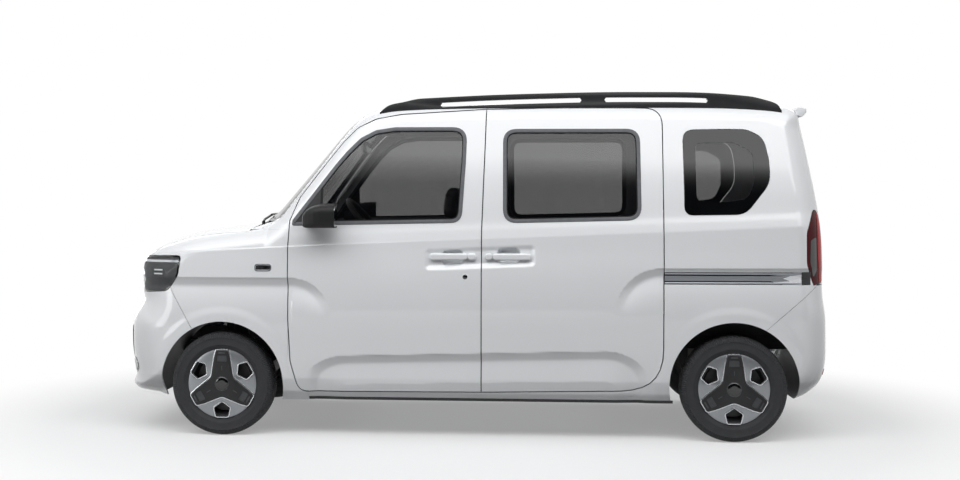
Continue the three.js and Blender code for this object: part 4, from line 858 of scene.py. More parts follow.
def grain(tree, shader, size, height, strength=1.0, detail=3.0, kind="noise"):
    """Surface relief of a given grain size and height in metres."""
    place = object_place(tree)
    if kind == "noise":
        pattern = add_node(tree, "ShaderNodeTexNoise", None, Vector=place, Scale=1 / size, Detail=detail).outputs[0]
    else:
        pattern = add_node(tree, "ShaderNodeTexVoronoi", {"feature": "F1"}, Vector=place, Scale=1 / size).outputs[0]
    bump = add_node(tree, "ShaderNodeBump", None, Height=pattern, Distance=height, Strength=strength)
    tree.links.new(bump.outputs["Normal"], shader.inputs["Normal"])
    return pattern


def mottled(tree, shader, low, high, size, socket="Base Color", detail=4.0):
    """Drifts a colour or number between two values over patches of a given size."""
    pattern = add_node(tree, "ShaderNodeTexNoise", None, Vector=object_place(tree), Scale=1 / size, Detail=detail)
    ramp = add_node(tree, "ShaderNodeMapRange", None, Value=pattern.outputs[0], From_Min=0.3, From_Max=0.7)
    if socket == "Base Color":
        mix = add_node(tree, "ShaderNodeMix", {"data_type": "RGBA"}, Factor=ramp.outputs[0], _6=low, _7=high)
        tree.links.new(mix.outputs[2], shader.inputs[socket])
    else:
        ramp.inputs["To Min"].default_value, ramp.inputs["To Max"].default_value = low, high
        tree.links.new(ramp.outputs[0], shader.inputs[socket])


FINISHES = {}


def finish(maker, *details):
    """The material that a maker function makes, made once."""
    key = (maker.__name__, *details)
    if key not in FINISHES:
        FINISHES[key] = maker(*details)
    return FINISHES[key]


def coloured(name, low, high, size, relief=None, kind="noise", **settings):
    """A finish that drifts between two hex colours over patches, with relief of (grain size, height) in metres."""
    material, tree, shader = new_finish(name, **settings)
    mottled(tree, shader, linear(low), linear(high), size)
    if relief:
        grain(tree, shader, *relief, 0.6, kind=kind)
    return material


def sprayed_paint():
    # White solid enamel under clear lacquer: bright and even, a faint orange peel, sharp highlights.
    colour = (*bpy.context.scene.micro_van.paint_colour, 1)
    material, tree, shader = new_finish("white_enamel_lacquered", Roughness=0.38, Coat_Weight=1.0, Coat_Roughness=0.03,
                                        IOR=1.5)
    mottled(tree, shader, tuple(0.985 * c for c in colour[:3]) + (1,), colour, 0.35)
    grain(tree, shader, 0.006, 0.00003, detail=1.0)
    return material


def trim_moulding():
    # Grained polypropylene linings of doors and pillars: dark grey, low sheen.
    return coloured("dark_grey_polypropylene_lining", "2B2C2F", "323336", 0.06, (0.0025, 0.0004), "cells",
                    Roughness=0.6)


def headliner():
    # Needle-felt headlining: light grey, soft and without shine.
    return coloured("light_grey_needle_felt", "8E9094", "999B9F", 0.02, (0.0012, 0.0004), Roughness=0.95,
                    Sheen_Weight=0.3)


def moulded_black():
    # Unpainted black polypropylene: a fine leather grain, low sheen.
    return coloured("black_polypropylene_grained", "151618", "1B1C1F", 0.05, (0.0022, 0.0004), "cells", Roughness=0.48)


def mirror_black():
    # Mirror housing: smooth satin black, nearly without grain.
    return coloured("satin_black_mirror_housing", "050607", "090A0B", 0.05, (0.003, 0.00005), Roughness=0.5,
                    Specular_IOR_Level=0.3)


def gloss_black():
    # Black acrylic, moulded and polished: deep and mirror-like.
    return coloured("black_acrylic_gloss", "0B0C0E", "111215", 0.08, None, Roughness=0.12, Coat_Weight=0.6,
                    Coat_Roughness=0.03)


def lamp_black():
    # Matt black inner housing of the lamps: swallows stray light.
    return coloured("matt_black_lamp_housing", "08090B", "0E0F12", 0.03, (0.002, 0.0002), Roughness=0.5,
                    Specular_IOR_Level=0.25)


def grey_bezel_and_lit_seal():
    # Extruded EPDM rubber round the windows, matt: mid grey where it faces the light, a painted highlight on the seals,
    # whose cabin side is black. The side marker bezel has this mid grey as its own colour.
    return coloured("epdm_rubber_matt", "55575B", "606266", 0.02, (0.0015, 0.0001), Roughness=0.55)


def channel_rubber():
    # Black flocked rubber lip against the glass: takes the light in.
    return coloured("flocked_rubber_lip", "0D0E10", "141517", 0.01, (0.001, 0.0002), Roughness=0.9)


def glazed(name, low, high, clear, solid):
    """Glass whose surfaces cover what lies behind by one share face on and by another edge on."""
    material, tree, shader = new_finish(name, Roughness=0.02, IOR=1.5, Specular_IOR_Level=0.9)
    mottled(tree, shader, linear(low), linear(high), 0.4)
    facing = add_node(tree, "ShaderNodeLayerWeight", None, Blend=0.35).outputs["Facing"]
    cover = add_node(tree, "ShaderNodeMapRange", {"interpolation_type": "SMOOTHSTEP"}, Value=facing, From_Min=0.35,
                     From_Max=0.95, To_Min=clear, To_Max=solid)
    tree.links.new(cover.outputs[0], shader.inputs["Alpha"])
    return material


def tinted_glass():
    # Toughened privacy glass, grey in the mass: dark but clear, mirror-smooth.
    return glazed("grey_toughened_glass", "0B0C0E", "0E0F11", 0.45, 0.9)


def clear_glass():
    # Laminated windscreen glass: lightly green-grey.
    return glazed("laminated_screen_glass", "1A1F20", "1E2425", 0.28, 0.9)


def ceramic_print():
    # Black ceramic border fired onto the glass: glossy outside.
    return coloured("black_ceramic_on_glass", "0A0B0D", "0E0F11", 0.1, None, Roughness=0.05, IOR=1.5)


def lamp_lens():
    # Hard-coated polycarbonate: water-clear, with a sharp skin of reflection.
    return coloured("clear_polycarbonate_lens", "D8DDE2", "E2E6EA", 0.1, None, Roughness=0.02, Alpha=0.05, IOR=1.58,
                    Coat_Weight=0.6, Coat_Roughness=0.02)


def metallised():
    # Vacuum-metallised reflector: bright silver with a slight haze.
    return coloured("vacuum_metallised_reflector", "C4C7CB", "D2D5D8", 0.02, None, Metallic=1.0, Roughness=0.18)


def light_guide():
    # Frosted acrylic light guide, unlit: milky white.
    return coloured("frosted_acrylic_guide", "DCDFE2", "E8EAEC", 0.02, (0.001, 0.0001), Roughness=0.35)


def red_lens():
    # Red acrylic moulded with fine cross ribs: dark wine red, with a painted glint: the red turns lighter towards the
    # edges of each rib cell.
    material, tree, shader = new_finish("ribbed_red_acrylic", Roughness=0.2, Specular_IOR_Level=0.15)
    place = object_place(tree)
    # Ribs 7 mm apart, drawn coarser than the real 3 mm so that they show.
    ribs = add_node(tree, "ShaderNodeTexVoronoi", {"feature": "F1", "distance": "CHEBYCHEV"}, Vector=place,
                    Scale=1 / 0.007, Randomness=0.0)
    # The lighter red towards each cell's edge is a painted glint on the ribs.
    mix = add_node(tree, "ShaderNodeMix", {"data_type": "RGBA"}, Factor=ribs.outputs[0], _6=linear("200407"),
                   _7=linear("741018"))
    tree.links.new(mix.outputs[2], shader.inputs["Base Color"])
    bump = add_node(tree, "ShaderNodeBump", None, Height=ribs.outputs[0], Distance=0.001, Strength=0.5)
    tree.links.new(bump.outputs["Normal"], shader.inputs["Normal"])
    return material


def red_band():
    # Smooth red acrylic over a light guide: saturated signal red.
    return coloured("signal_red_acrylic", "B8000A", "CC000C", 0.05, None, Roughness=0.2, Specular_IOR_Level=0.12)


def drawn_rail():
    # Drawn and brushed aluminium rail: fine streaks along its length.
    material, tree, shader = new_finish("brushed_aluminium_rail", Metallic=1.0, Roughness=0.45)
    stretched = add_node(tree, "ShaderNodeMapping", None, Vector=object_place(tree), Scale=(4, 600, 600))
    streaks = add_node(tree, "ShaderNodeTexNoise", None, Vector=stretched.outputs[0], Scale=1.0, Detail=3.0)
    mix = add_node(tree, "ShaderNodeMix", {"data_type": "RGBA"}, Factor=streaks.outputs[0], _6=linear("7A7D82"),
                   _7=linear("A4A7AC"))
    tree.links.new(mix.outputs[2], shader.inputs["Base Color"])
    bump = add_node(tree, "ShaderNodeBump", None, Height=streaks.outputs[0], Distance=0.0002, Strength=0.4)
    tree.links.new(bump.outputs["Normal"], shader.inputs["Normal"])
    return material


def satin_rail():
    # Roof rail, powder-coated satin graphite: smooth with a broad soft highlight.
    return coloured("powder_coat_graphite", "141517", "1A1B1D", 0.05, (0.003, 0.00005), Roughness=0.38)


def mirror_glass():
    # Silvered mirror glass: clear reflection.
    return coloured("silvered_mirror_glass", "C9CDD1", "CFD3D7", 0.1, None, Metallic=1.0, Roughness=0.03)


def wheel_silver():
    # Silver base coat and lacquer on ABS: metallic flake, soft gleam.
    material, tree, shader = new_finish("silver_flake_on_abs", Metallic=0.75, Roughness=0.36, Coat_Weight=0.5,
                                        Coat_Roughness=0.08)
    flake = add_node(tree, "ShaderNodeTexVoronoi", {"feature": "F1"}, Vector=object_place(tree), Scale=1 / 0.0012)
    mix = add_node(tree, "ShaderNodeMix", {"data_type": "RGBA"}, Factor=flake.outputs[0], _6=linear("8C8F93"),
                   _7=linear("9B9EA2"))
    tree.links.new(mix.outputs[2], shader.inputs["Base Color"])
    return material


def silver_painted_highlight():
    # The same cover where its moulded edges catch the light, drawn as a lighter, smoother silver: the lighter colour is
    # a painted highlight.
    return coloured("bright_silver_bevel", "C9CCD0", "D5D8DB", 0.01, None, Metallic=0.8, Roughness=0.22)


def star_black():
    # Satin black paint on the star of the cover.
    return coloured("satin_black_paint_on_abs", "0E0F11", "131417", 0.03, (0.002, 0.00005), Roughness=0.42)


def panel_grey():
    # Recessed panels of the star: charcoal paint, duller.
    return coloured("charcoal_paint_on_abs", "3A3C3F", "434548", 0.02, (0.0015, 0.0001), Roughness=0.5)


def tyre_rubber(index):
    # Vulcanised rubber: charcoal, matt, with fine moulded ribs across the shoulder and rings on the side.
    x, z = ARCHES[index][0], TYRE_RADIUS
    material, tree, shader = new_finish(f"tyre_rubber_{index}", Roughness=0.72)
    centred = add_node(tree, "ShaderNodeMapping", None, Vector=object_place(tree), Location=(-x, 0, -z))
    apart = add_node(tree, "ShaderNodeSeparateXYZ", None, Vector=centred.outputs[0])
    flat = add_node(tree, "ShaderNodeCombineXYZ", None, X=apart.outputs["X"], Y=apart.outputs["Z"])
    turn = add_node(tree, "ShaderNodeTexGradient", {"gradient_type": "RADIAL"}, Vector=flat.outputs[0])
    radius = add_node(tree, "ShaderNodeVectorMath", {"operation": "LENGTH"}, Vector=flat.outputs[0])
    # 150 ribs round the shoulder, about 11 mm apart.
    ribs = add_node(tree, "ShaderNodeMath", {"operation": "PINGPONG"}, _0=count(tree, turn.outputs[0], 300), _1=1.0)
    shoulder = add_node(tree, "ShaderNodeMapRange", {"interpolation_type": "SMOOTHSTEP"}, Value=radius.outputs[1],
                        From_Min=0.228, From_Max=0.246)
    on = add_node(tree, "ShaderNodeMath", {"operation": "MULTIPLY"}, _0=ribs.outputs[0], _1=shoulder.outputs[0])
    rings = add_node(tree, "ShaderNodeMath", {"operation": "PINGPONG"}, _0=count(tree, radius.outputs[1], 400), _1=1.0)
    faint = count(tree, rings.outputs[0], 0.35)
    height = add_node(tree, "ShaderNodeMath", {"operation": "ADD"}, _0=on.outputs[0], _1=faint)
    bump = add_node(tree, "ShaderNodeBump", None, Height=height.outputs[0], Distance=0.0030, Strength=1.0)
    tree.links.new(bump.outputs["Normal"], shader.inputs["Normal"])
    dust = add_node(tree, "ShaderNodeTexNoise", None, Vector=object_place(tree), Scale=22.0, Detail=5.0)
    mix = add_node(tree, "ShaderNodeMix", {"data_type": "RGBA"}, Factor=dust.outputs[0], _6=linear("222325"),
                   _7=linear("323336"))
    tree.links.new(mix.outputs[2], shader.inputs["Base Color"])
    return material


def count(tree, value, times):
    """A socket's value times a number."""
    return add_node(tree, "ShaderNodeMath", {"operation": "MULTIPLY"}, _0=value, _1=times).outputs[0]


def woven_cloth():
    # Plain-woven polyester seat cloth, threads drawn 2.5 mm apart (real ones are 1 mm), with a soft sheen.
    material, tree, shader = new_finish("woven_polyester", Roughness=0.9, Sheen_Weight=0.4)
    place = object_place(tree)
    waves = [add_node(tree, "ShaderNodeTexWave", {"wave_type": "BANDS", "bands_direction": way}, Vector=place,
                      Scale=math.pi / 0.0025 / 20, Distortion=0.4) for way in ("X", "Y", "Z")]
    over = add_node(tree, "ShaderNodeMath", {"operation": "MULTIPLY"}, _0=waves[0].outputs[1], _1=waves[1].outputs[1])
    cross = add_node(tree, "ShaderNodeMath", {"operation": "ADD"}, _0=over.outputs[0], _1=waves[2].outputs[1])
    mix = add_node(tree, "ShaderNodeMix", {"data_type": "RGBA"}, Factor=cross.outputs[0], _6=linear("222427"),
                   _7=linear("3B3E43"))
    tree.links.new(mix.outputs[2], shader.inputs["Base Color"])
    bump = add_node(tree, "ShaderNodeBump", None, Height=cross.outputs[0], Distance=0.0008, Strength=0.6)
    tree.links.new(bump.outputs["Normal"], shader.inputs["Normal"])
    return material


def seat_vinyl():
    # Grained vinyl on the seat sides and restraints: darker and smoother than the cloth.
    return coloured("grained_vinyl", "151618", "1C1D20", 0.05, (0.0025, 0.0003), "cells", Roughness=0.5)


def soft_dashboard():
    # Slush-moulded dashboard skin: charcoal, leather grain, almost no shine.
    return coloured("slush_moulded_skin", "1D1E21", "242529", 0.08, (0.003, 0.0004), "cells", Roughness=0.62)


def screen_face():
    # Dark display glass, switched off.
    return coloured("display_glass_off", "08090B", "0C0D10", 0.1, None, Roughness=0.08, Coat_Weight=0.5)


def underbody_coat():
    # Sprayed stone-chip coating over steel: black, pebbled.
    return coloured("stone_chip_coating", "1A1B1C", "232425", 0.09, (0.004, 0.0008), Roughness=0.75)


def carpet():
    # Tufted nylon floor covering: charcoal pile.
    return coloured("tufted_nylon", "1C1D1F", "2A2B2E", 0.01, (0.002, 0.002), Roughness=1.0, Sheen_Weight=0.4)


def dipped_steel():
    # Electro-dipped steel of subframe and rims: black with a slight gloss and faint drips.
    return coloured("electro_dipped_steel", "161719", "1F2022", 0.12, (0.01, 0.0003), Roughness=0.42)


def cast_iron():
    # Cast hubs and axle: sand-cast grey with light rust bloom.
    return coloured("sand_cast_iron", "3A3937", "54504B", 0.03, (0.002, 0.0006), Metallic=0.5, Roughness=0.7)


def battery_case():
    # Cast and machined aluminium pack case: dull silver-grey.
    return coloured("cast_aluminium_case", "6E7175", "85888C", 0.06, (0.003, 0.0003), Metallic=0.9, Roughness=0.5)


def plate_sheet():
    # Blank number plate: white coated aluminium sheet.
    return coloured("white_plate_sheet", "D9DBDD", "E2E4E6", 0.05, None, Roughness=0.35)


def smoked_lens():
    # Smoked polycarbonate: a dark clear cover with a sharp reflection.
    return coloured("smoked_polycarbonate", "2B2D31", "35373B", 0.03, None, Roughness=0.06, Coat_Weight=0.6,
                    Coat_Roughness=0.02, IOR=1.58)


# ------------------------------------------------------------------ settings and operators
class MicroVanSettings(bpy.types.PropertyGroup):
    """Sizes and colours that a user would change."""

    paint_colour: FloatVectorProperty(name="Paint", description="Body colour, linear", subtype="COLOR", size=3,
                                      min=0, max=1, default=linear("ECEEF1")[:3])
    floor_size: FloatProperty(name="Floor", description="Radius of the studio floor", default=14.0, unit="LENGTH")
    focal_length: FloatProperty(name="Lens", description="Camera focal length", default=51.8, unit="CAMERA")


class VAN_OT_body_sides(bpy.types.Operator):
    """Body sides from the windscreen pillar to the rear corner, with their inner members"""

    bl_idname = "van.body_sides"
    bl_label = "Body sides"

    def execute(self, context):
        columns = SIDE_COLUMNS[SIDE_COLUMNS < 1.18]
        side = skin_shell("side", columns, SIDE_ROWS, side_ray, 0, WALL)
        ahead = [(1.180, COWL_JOINT), (0.9207, COWL_JOINT), (0.9207, 0.2423), (0.8187, 0.2363), (0.8187, 0.150),
                 (1.180, 0.150)]
        combine(side,
                ("INTERSECT", block("keep", (-1.850, ROOF_JOINT, 0.190), (1.142, OUT, 1.800))),
                ("DIFFERENCE", prism("door", offset(FRONT_DOOR, SHUT_LINE), "Y", 0.3, OUT)),
                ("DIFFERENCE", prism("slide", offset(SLIDING_DOOR, SHUT_LINE), "Y", 0.3, OUT)),
                ("DIFFERENCE", prism("quarter", QUARTER_WINDOW, "Y", 0.3, OUT)),
                ("DIFFERENCE", prism("screen", SCREEN, "X", 0, 1.4)),
                ("DIFFERENCE", prism("tailgate", offset(TAILGATE, SHUT_LINE), "X", -2, TAILGATE_AXIS[0] + 0.001)),
                ("DIFFERENCE", lamp_block("lamp", TAILLAMP_SIDE, TAILLAMP_END, 0.001, -1.9, -1.6)),
                ("DIFFERENCE", past_split("bumper", BUMPER_SPLIT_REAR, 0.790, -2, 0)),
                ("DIFFERENCE", prism("ahead", ahead, "Y", 0, OUT)),
                ("DIFFERENCE", arch_drum(1)),
                ("DIFFERENCE", block("slot", (TRACK_SLOT["rear"], TRACK_SLOT["floor"], TRACK_SLOT["low"]),
                                     (C_LINE + 0.02, OUT, TRACK_SLOT["high"]))))
        lining_and_gap_shade(side, WALL)
        mirrored_pair("body_side_skin", side, "root", [finish(sprayed_paint), finish(trim_moulding)],
                      ["body_side"], 0)

        sill = united("sill", block("a", (-1.000, 0.610, 0.190), (0.818, 0.672, 0.3257)),
                      block("b", (-1.000, 0.671, 0.190), (0.818, 0.700, 0.228)),
                      block("c", (0.810, 0.610, 0.190), (0.925, 0.655, 0.3257)))
        mirrored_pair("sill_beam", soften(sill, 0.004), "root", finish(underbody_coat))
        guard = patch("guard", [(-1.030, 0.1905), (0.815, 0.1905), (0.815, 0.2060), (-1.030, 0.2060)], -0.0008, 0.005,
                      step=0.02)
        mirrored_pair("sill_guard", shade(guard), "root", finish(moulded_black))
        pillar = skin_shell("pillar", spaced((-0.160, 0.020, 0.03)), SIDE_ROWS[::3], side_ray, WALL + 0.008, 0.05)
        combine(pillar, ("INTERSECT", prism("cut", [(-0.115, 0.2), (-0.015, 0.2), (-0.035, 1.69), (-0.125, 1.69)], "Y",
                                            0.48, 0.9)))
        mirrored_pair("centre_pillar", soften(pillar, 0.006), "root", finish(trim_moulding))
        post = united("post", block("a", (0.850, 0.610, 0.340), (0.925, 0.680, 0.900)),
                      block("b", (0.850, 0.610, 0.300), (0.925, 0.655, 1.040)),
                      block("c", (0.900, 0.610, 1.000), (1.010, 0.650, 1.085)),
                      block("d", (0.935, 0.640, COWL_JOINT + 0.002), (1.010, 0.672, 1.082)))
        mirrored_pair("hinge_pillar", soften(post, 0.005), "root", finish(trim_moulding))
        under = skin_shell("under", spaced((-1.700, 0.500, 0.1)), spaced((0.470, 0.560, 0.015)), up_ray, 0.034, 0.3)
        rail = block("rail", (-1.600, 0.492, 1.620), (0.420, INNER_EDGE - 0.007, 1.720))
        combine(rail, ("INTERSECT", under))
        mirrored_pair("cant_rail_lining", soften(rail, 0.006), "root", finish(headliner))
        x, z = ARCHES[1]
        house = spun("house", [(ARCH_RADIUS, 0.706), (ARCH_RADIUS, 0.530), (0.02, 0.530), (0.02, 0.518),
                               (ARCH_RADIUS + 0.012, 0.518), (ARCH_RADIUS + 0.012, 0.706)], x, z)
        combine(house, ("INTERSECT", block("keep", (-1.800, 0, 0.520), (-0.900, OUT, 0.700))))
        mirrored_pair("wheelhouse", soften(house, 0.003), "root", finish(underbody_coat))
        return {"FINISHED"}


class VAN_OT_doors(bpy.types.Operator):
    """Front and sliding doors with their pull handles, lock cylinders and linings"""

    bl_idname = "van.doors"
    bl_label = "Doors"

    def execute(self, context):
        faces = [finish(sprayed_paint), finish(trim_moulding)]
        rows = SIDE_ROWS[SIDE_ROWS < 12.04]
        kinds = (("front_door", "front_door", (-0.12, 0.95), FRONT_DOOR, FRONT_WINDOW),
                 ("sliding_door", "root", (-1.01, -0.05), SLIDING_DOOR, SLIDING_WINDOW))
        for (name, body, (x0, x1), outline, window), (front, rear, joint) in zip(kinds, HANDLES):
            columns = SIDE_COLUMNS[(SIDE_COLUMNS > x0) & (SIDE_COLUMNS < x1)]
            door = skin_shell(name, columns, rows, side_ray, 0, WALL)
            combine(door, ("INTERSECT", prism("edge", outline, "Y", INNER_EDGE, OUT)),
                    ("DIFFERENCE", prism("window", window, "Y", 0.3, OUT)))
            lining_and_gap_shade(door, WALL)
            mirrored_pair(f"{name}_skin", door, body, faces, [name], 0)
            low, high = HANDLE_BAR
            bars = [prism("bar", plate_outline(a, b, low, high, radius), "Y", HANDLE_FACE - 0.019, HANDLE_FACE)
                    for a, b, radius in ((rear, joint - 0.0006, 0.016), (joint + 0.0006, front, 0.016))]
            bars = soften(united("bars", *bars), 0.009, 4, 50)
            mirrored_pair(f"{name}_handle", bars, body, finish(sprayed_paint))
        flush = float(half_width(0.012, 0.823))
        ring = prism("ring", ring_outline(0.012, 0.823, 0.0132), "Y", flush - 0.010, flush + 0.0015)
        mirrored_pair("lock_surround", soften(ring, 0.0015), "front_door", finish(metallised))
        barrel = prism("barrel", ring_outline(0.012, 0.823, 0.0114), "Y", flush - 0.010, flush + 0.0022)
        mirrored_pair("lock_barrel", soften(barrel, 0.0010), "front_door", finish(gloss_black))
        card = rounded([(-0.040, 0.300, 0.050), (0.800, 0.300, 0.090), (0.840, 0.560, 0.060), (0.840, 1.050, 0.040),
                        (-0.040, 1.050, 0.040)])
        lining = patch("lining", card, WALL, 0.012, step=0.03)
        mirrored_pair("front_door_lining", shade(lining), "front_door", finish(trim_moulding))
        rest = tapered("rest", plate_outline(0.180, 0.620, 0.745, 0.785, 0.018), "Y",
                       ((0.706, 1.02, (0, 0)), (0.660, 1.0, (0, 0)), (0.640, 0.94, (0, 0))))
        mirrored_pair("front_door_armrest", soften(rest, 0.005, 3), "front_door", finish(seat_vinyl))
        card = patch("lining", plate_outline(-0.940, -0.120, 0.300, 1.050, 0.060), WALL, 0.012, step=0.03)
        mirrored_pair("sliding_door_lining", shade(card), "root", finish(trim_moulding))
        return {"FINISHED"}


class VAN_OT_glazing(bpy.types.Operator):
    """Windscreen and windows with their seals"""

    bl_idname = "van.glazing"
    bl_label = "Glazing"

    def execute(self, context):
        tint, seal, lip = finish(tinted_glass), finish(grey_bezel_and_lit_seal), finish(channel_rubber)
        for name, body, outline in (("front_door", "front_door", FRONT_WINDOW),
                                    ("sliding_door", "root", SLIDING_WINDOW)):
            # The seal ring's outer faces are drawn mid grey as painted light. Its cabin side and deep edges are black.
            ring = patch("seal", offset(outline, 0.0015), -0.0015, 0.012, hole=offset(outline, -SEAL_WIDTH))
            ring = soften(ring, 0.0015, 2, 50)
            lining_and_gap_shade(ring, 0.012)
            mirrored_pair(f"{name}_window_seal", ring, body, [seal, lip])
            ring = patch("lip", offset(outline, -SEAL_WIDTH + 0.001), 0.0025, 0.010,
                         hole=offset(outline, -SEAL_WIDTH - 0.005))
            mirrored_pair(f"{name}_window_lip", shade(ring), body, lip)
            pane = patch("pane", offset(outline, -SEAL_WIDTH + 0.004), GLASS_INSET, 0.005)
            mirrored_pair(f"{name}_window", pane, body, tint, [f"{name}_glass"], GLASS_INSET)
        inner = offset(FRONT_WINDOW, -SEAL_WIDTH + 0.002)
        sail = patch("sail", inner, 0.0015, 0.004)
        combine(sail, ("INTERSECT", block("front", (SAIL_EDGE, 0.3, 1.0), (1.0, OUT, 1.40))))
        mirrored_pair("mirror_sail", shade(sail), "front_door", finish(moulded_black))
        bar = patch("bar", inner, 0.0005, 0.009)
        combine(bar, ("INTERSECT", block("bar", (SAIL_EDGE - 0.008, 0.3, 1.0), (SAIL_EDGE + 0.003, OUT, 1.40))))
        mirrored_pair("window_bar", soften(bar, 0.001), "front_door", lip)

        pane = patch("pane", offset(QUARTER_WINDOW, -0.002), 0.0015, 0.005)
        mirrored_pair("quarter_window", pane, "root", tint, ["quarter_glass"], 0.0015)
        band = patch("band", offset(QUARTER_WINDOW, -0.002), 0.0008, 0.0006, hole=QUARTER_CLEAR)
        mirrored_pair("quarter_window_border", band, "root", finish(ceramic_print), on_skin_at=0.0008)

        def screen(name, outline, depth, thickness, hole=None):
            return patch(name, outline, depth, thickness, hole, screen_ray, "X", ((-1, 1, 0.05), (1.09, 1.665, 0.02)))

        pane = screen("windscreen_pane", offset(SCREEN, -0.0004), 0.002, 0.006)
        polish(pane, 0.002)
        dress(pane, "root", finish(clear_glass), ["windscreen"])
        band = screen("windscreen_border", offset(SCREEN, -0.0004), 0.0012, 0.0006, offset(SCREEN, -0.038))
        polish(band, 0.0012)
        dress(band, "root", finish(ceramic_print))

        def rear(name, outline, depth, thickness, hole=None):
            return patch(name, outline, depth, thickness, hole, fanning_ray(-1.25, 1.15), "X",
                         ((-0.52, 0.52, 0.03), (2.32, 3.30, 0.03)))

        pane = rear("tailgate_window", offset(TAILGATE_WINDOW, -0.0006), 0.004, 0.005)
        polish(pane, 0.004)
        dress(pane, "tailgate", tint, ["tailgate_glass"])
        band = rear("tailgate_window_border", offset(TAILGATE_WINDOW, -0.0006), 0.0032, 0.0006,
                    offset(TAILGATE_WINDOW, -0.030))
        polish(band, 0.0032)
        dress(band, "tailgate", finish(ceramic_print))
        # Heating wires: fine copper-brown lines printed across the glass, 32 mm apart.
        wires = []
        for z in spaced((1.190, 1.500, 0.032)):
            wires.append(rear("wire", [(-0.43, z), (0.43, z), (0.43, z + 0.0014), (-0.43, z + 0.0014)], 0.0026, 0.0006))
        dress(united("tailgate_heating_wires", *wires), "tailgate", finish(cast_iron))
        return {"FINISHED"}


class VAN_OT_front_panels(bpy.types.Operator):
    """Fenders, bonnet and front bumper with grille, plate and arch liners"""

    bl_idname = "van.front_panels"
    bl_label = "Front panels"

    def execute(self, context):
        paint, lined = [finish(sprayed_paint)], [finish(sprayed_paint), finish(moulded_black)]
        bonnet_cut = [prism("bonnet", offset(BONNET, SHUT_LINE), "Z", 0.6, 1.3) for _ in range(2)]
        columns = SIDE_COLUMNS[SIDE_COLUMNS > 0.80]
        rows = SIDE_ROWS[SIDE_ROWS < 11.25]
        fender = skin_shell("fender", columns, rows, side_ray, 0, SKIN)
        sill_end = [(0.700, 0.100), (0.819, 0.100), (0.819, 0.236), (0.921, 0.242), (0.905, 1.300), (0.700, 1.300)]
        combine(fender,
                ("INTERSECT", block("keep", (0.815, 0.4, 0.187), (1.8, OUT, COWL_JOINT - 0.0003))),
                ("DIFFERENCE", prism("door", offset(FRONT_DOOR, SHUT_LINE), "Y", 0.3, OUT)),
                ("DIFFERENCE", bonnet_cut[0]),
                ("DIFFERENCE", arch_drum(0)),
                ("DIFFERENCE", lamp_block("lamp", HEADLAMP_SIDE, HEADLAMP_END, 0.001, 1.4, 1.9)),
                ("DIFFERENCE", past_split("bumper", BUMPER_SPLIT_FRONT, 0.930, 2, -0.003)),
                ("DIFFERENCE", prism("sill", sill_end, "Y", 0, OUT)),
                ("DIFFERENCE", block("cowl", (0.7, 0, 0.9), (1.150, 0.660, 1.3))))
        lining_and_gap_shade(fender, SKIN)
        mirrored_pair("fender_skin", fender, "root", lined, ["fender"], 0)

        def ray(share, along, depth):
            y = share * (0.670 + along * (0.575 - 0.670))
            return up_ray(1.128 + along * (bonnet_front(y) + 0.006 - 1.128), y, depth)

        bonnet = skin_shell("bonnet_skin", spaced((-1, 1, 0.022)), spaced((0, 0.8, 0.025), (0.8, 1, 0.014)), ray, 0,
                            SKIN)
        combine(bonnet, ("INTERSECT", prism("edge", BONNET, "Z", 0.7, 1.3)))
        polish(bonnet)
        dress(bonnet, "bonnet", paint, stands_for=["bonnet"])

        bumper = skin_shell("front_bumper_skin", spaced((-1.35, 1.35, 0.022)),
                            spaced((0.192, 0.32, 0.010), (0.32, 0.60, 0.018), (0.60, 0.95, 0.012)),
                            turning_ray(1.2), 0, SKIN)
        combine(bumper, ("INTERSECT", past_split("bumper", BUMPER_SPLIT_FRONT, 0.930, 2, 0)),
                ("DIFFERENCE", prism("grille", GRILLE, "X", 1.4, 2)), *less_both(arch_drum(0)),
                *less_both(lamp_block("lamp", HEADLAMP_SIDE, HEADLAMP_END, 0.001, 1.4, 1.9)),
                ("DIFFERENCE", bonnet_cut[1]))
        lining_and_gap_shade(bumper, SKIN)
        polish(bumper)
        dress(bumper, "root", lined, stands_for=["front_bumper"])
        self.fittings()
        return {"FINISHED"}

    def fittings(self):
        def nose(name, outline, depth, thickness, low, high, hole=None, angle=0.80):
            return patch(name, outline, depth, thickness, hole, turning_ray(1.2), "X",
                         ((-angle, angle, 0.03), (low, high, 0.01)))

        mesh = nose("grille_mesh", offset(GRILLE, 0.008), 0.016, 0.004, 0.285, 0.445)
        dress(shade(mesh), "root", finish(moulded_black))
        bars = []
        for z in (0.328, 0.352, 0.376, 0.400):
            bars.append(nose("bar", [(-0.47, z), (0.47, z), (0.47, z + 0.009), (-0.47, z + 0.009)], 0.003, 0.014,
                             z - 0.004, z + 0.013))
        bars += [nose("bar", [(y, 0.29), (y + 0.010, 0.29), (y + 0.010, 0.44), (y, 0.44)], 0.006, 0.010, 0.288, 0.442)
                 for y in (-0.30, -0.15, -0.005, 0.14, 0.29)]
        dress(soften(united("grille_bars", *bars), 0.002), "root", finish(moulded_black))
        frame = nose("grille_frame", offset(GRILLE, 0.010), -0.002, 0.010, 0.280, 0.450, hole=offset(GRILLE, -0.006))
        dress(soften(frame, 0.002), "root", finish(moulded_black))
        base = nose("front_plate_base", plate_outline(-0.232, 0.232, 0.474, 0.596, 0.008), -0.003, 0.010, 0.465, 0.605)
        dress(soften(base, 0.002), "root", finish(moulded_black))
        plate = nose("front_plate", plate_outline(-0.220, 0.220, 0.482, 0.588, 0.006), -0.005, 0.002, 0.475, 0.595)
        dress(shade(plate), "root", finish(plate_sheet))
        slit = rounded([(1.7850, 0.300, 0.008), (1.7870, 0.552, 0.008), (1.850, 0.560, 0), (1.850, 0.294, 0)])

        def corner(name, outline, depth, thickness, axis="Y", low=0.25, high=0.57):
            return patch(name, outline, depth, thickness, None, turning_ray(1.2), axis,
                         ((0.30, 1.20, 0.02), (low, high, 0.01)))

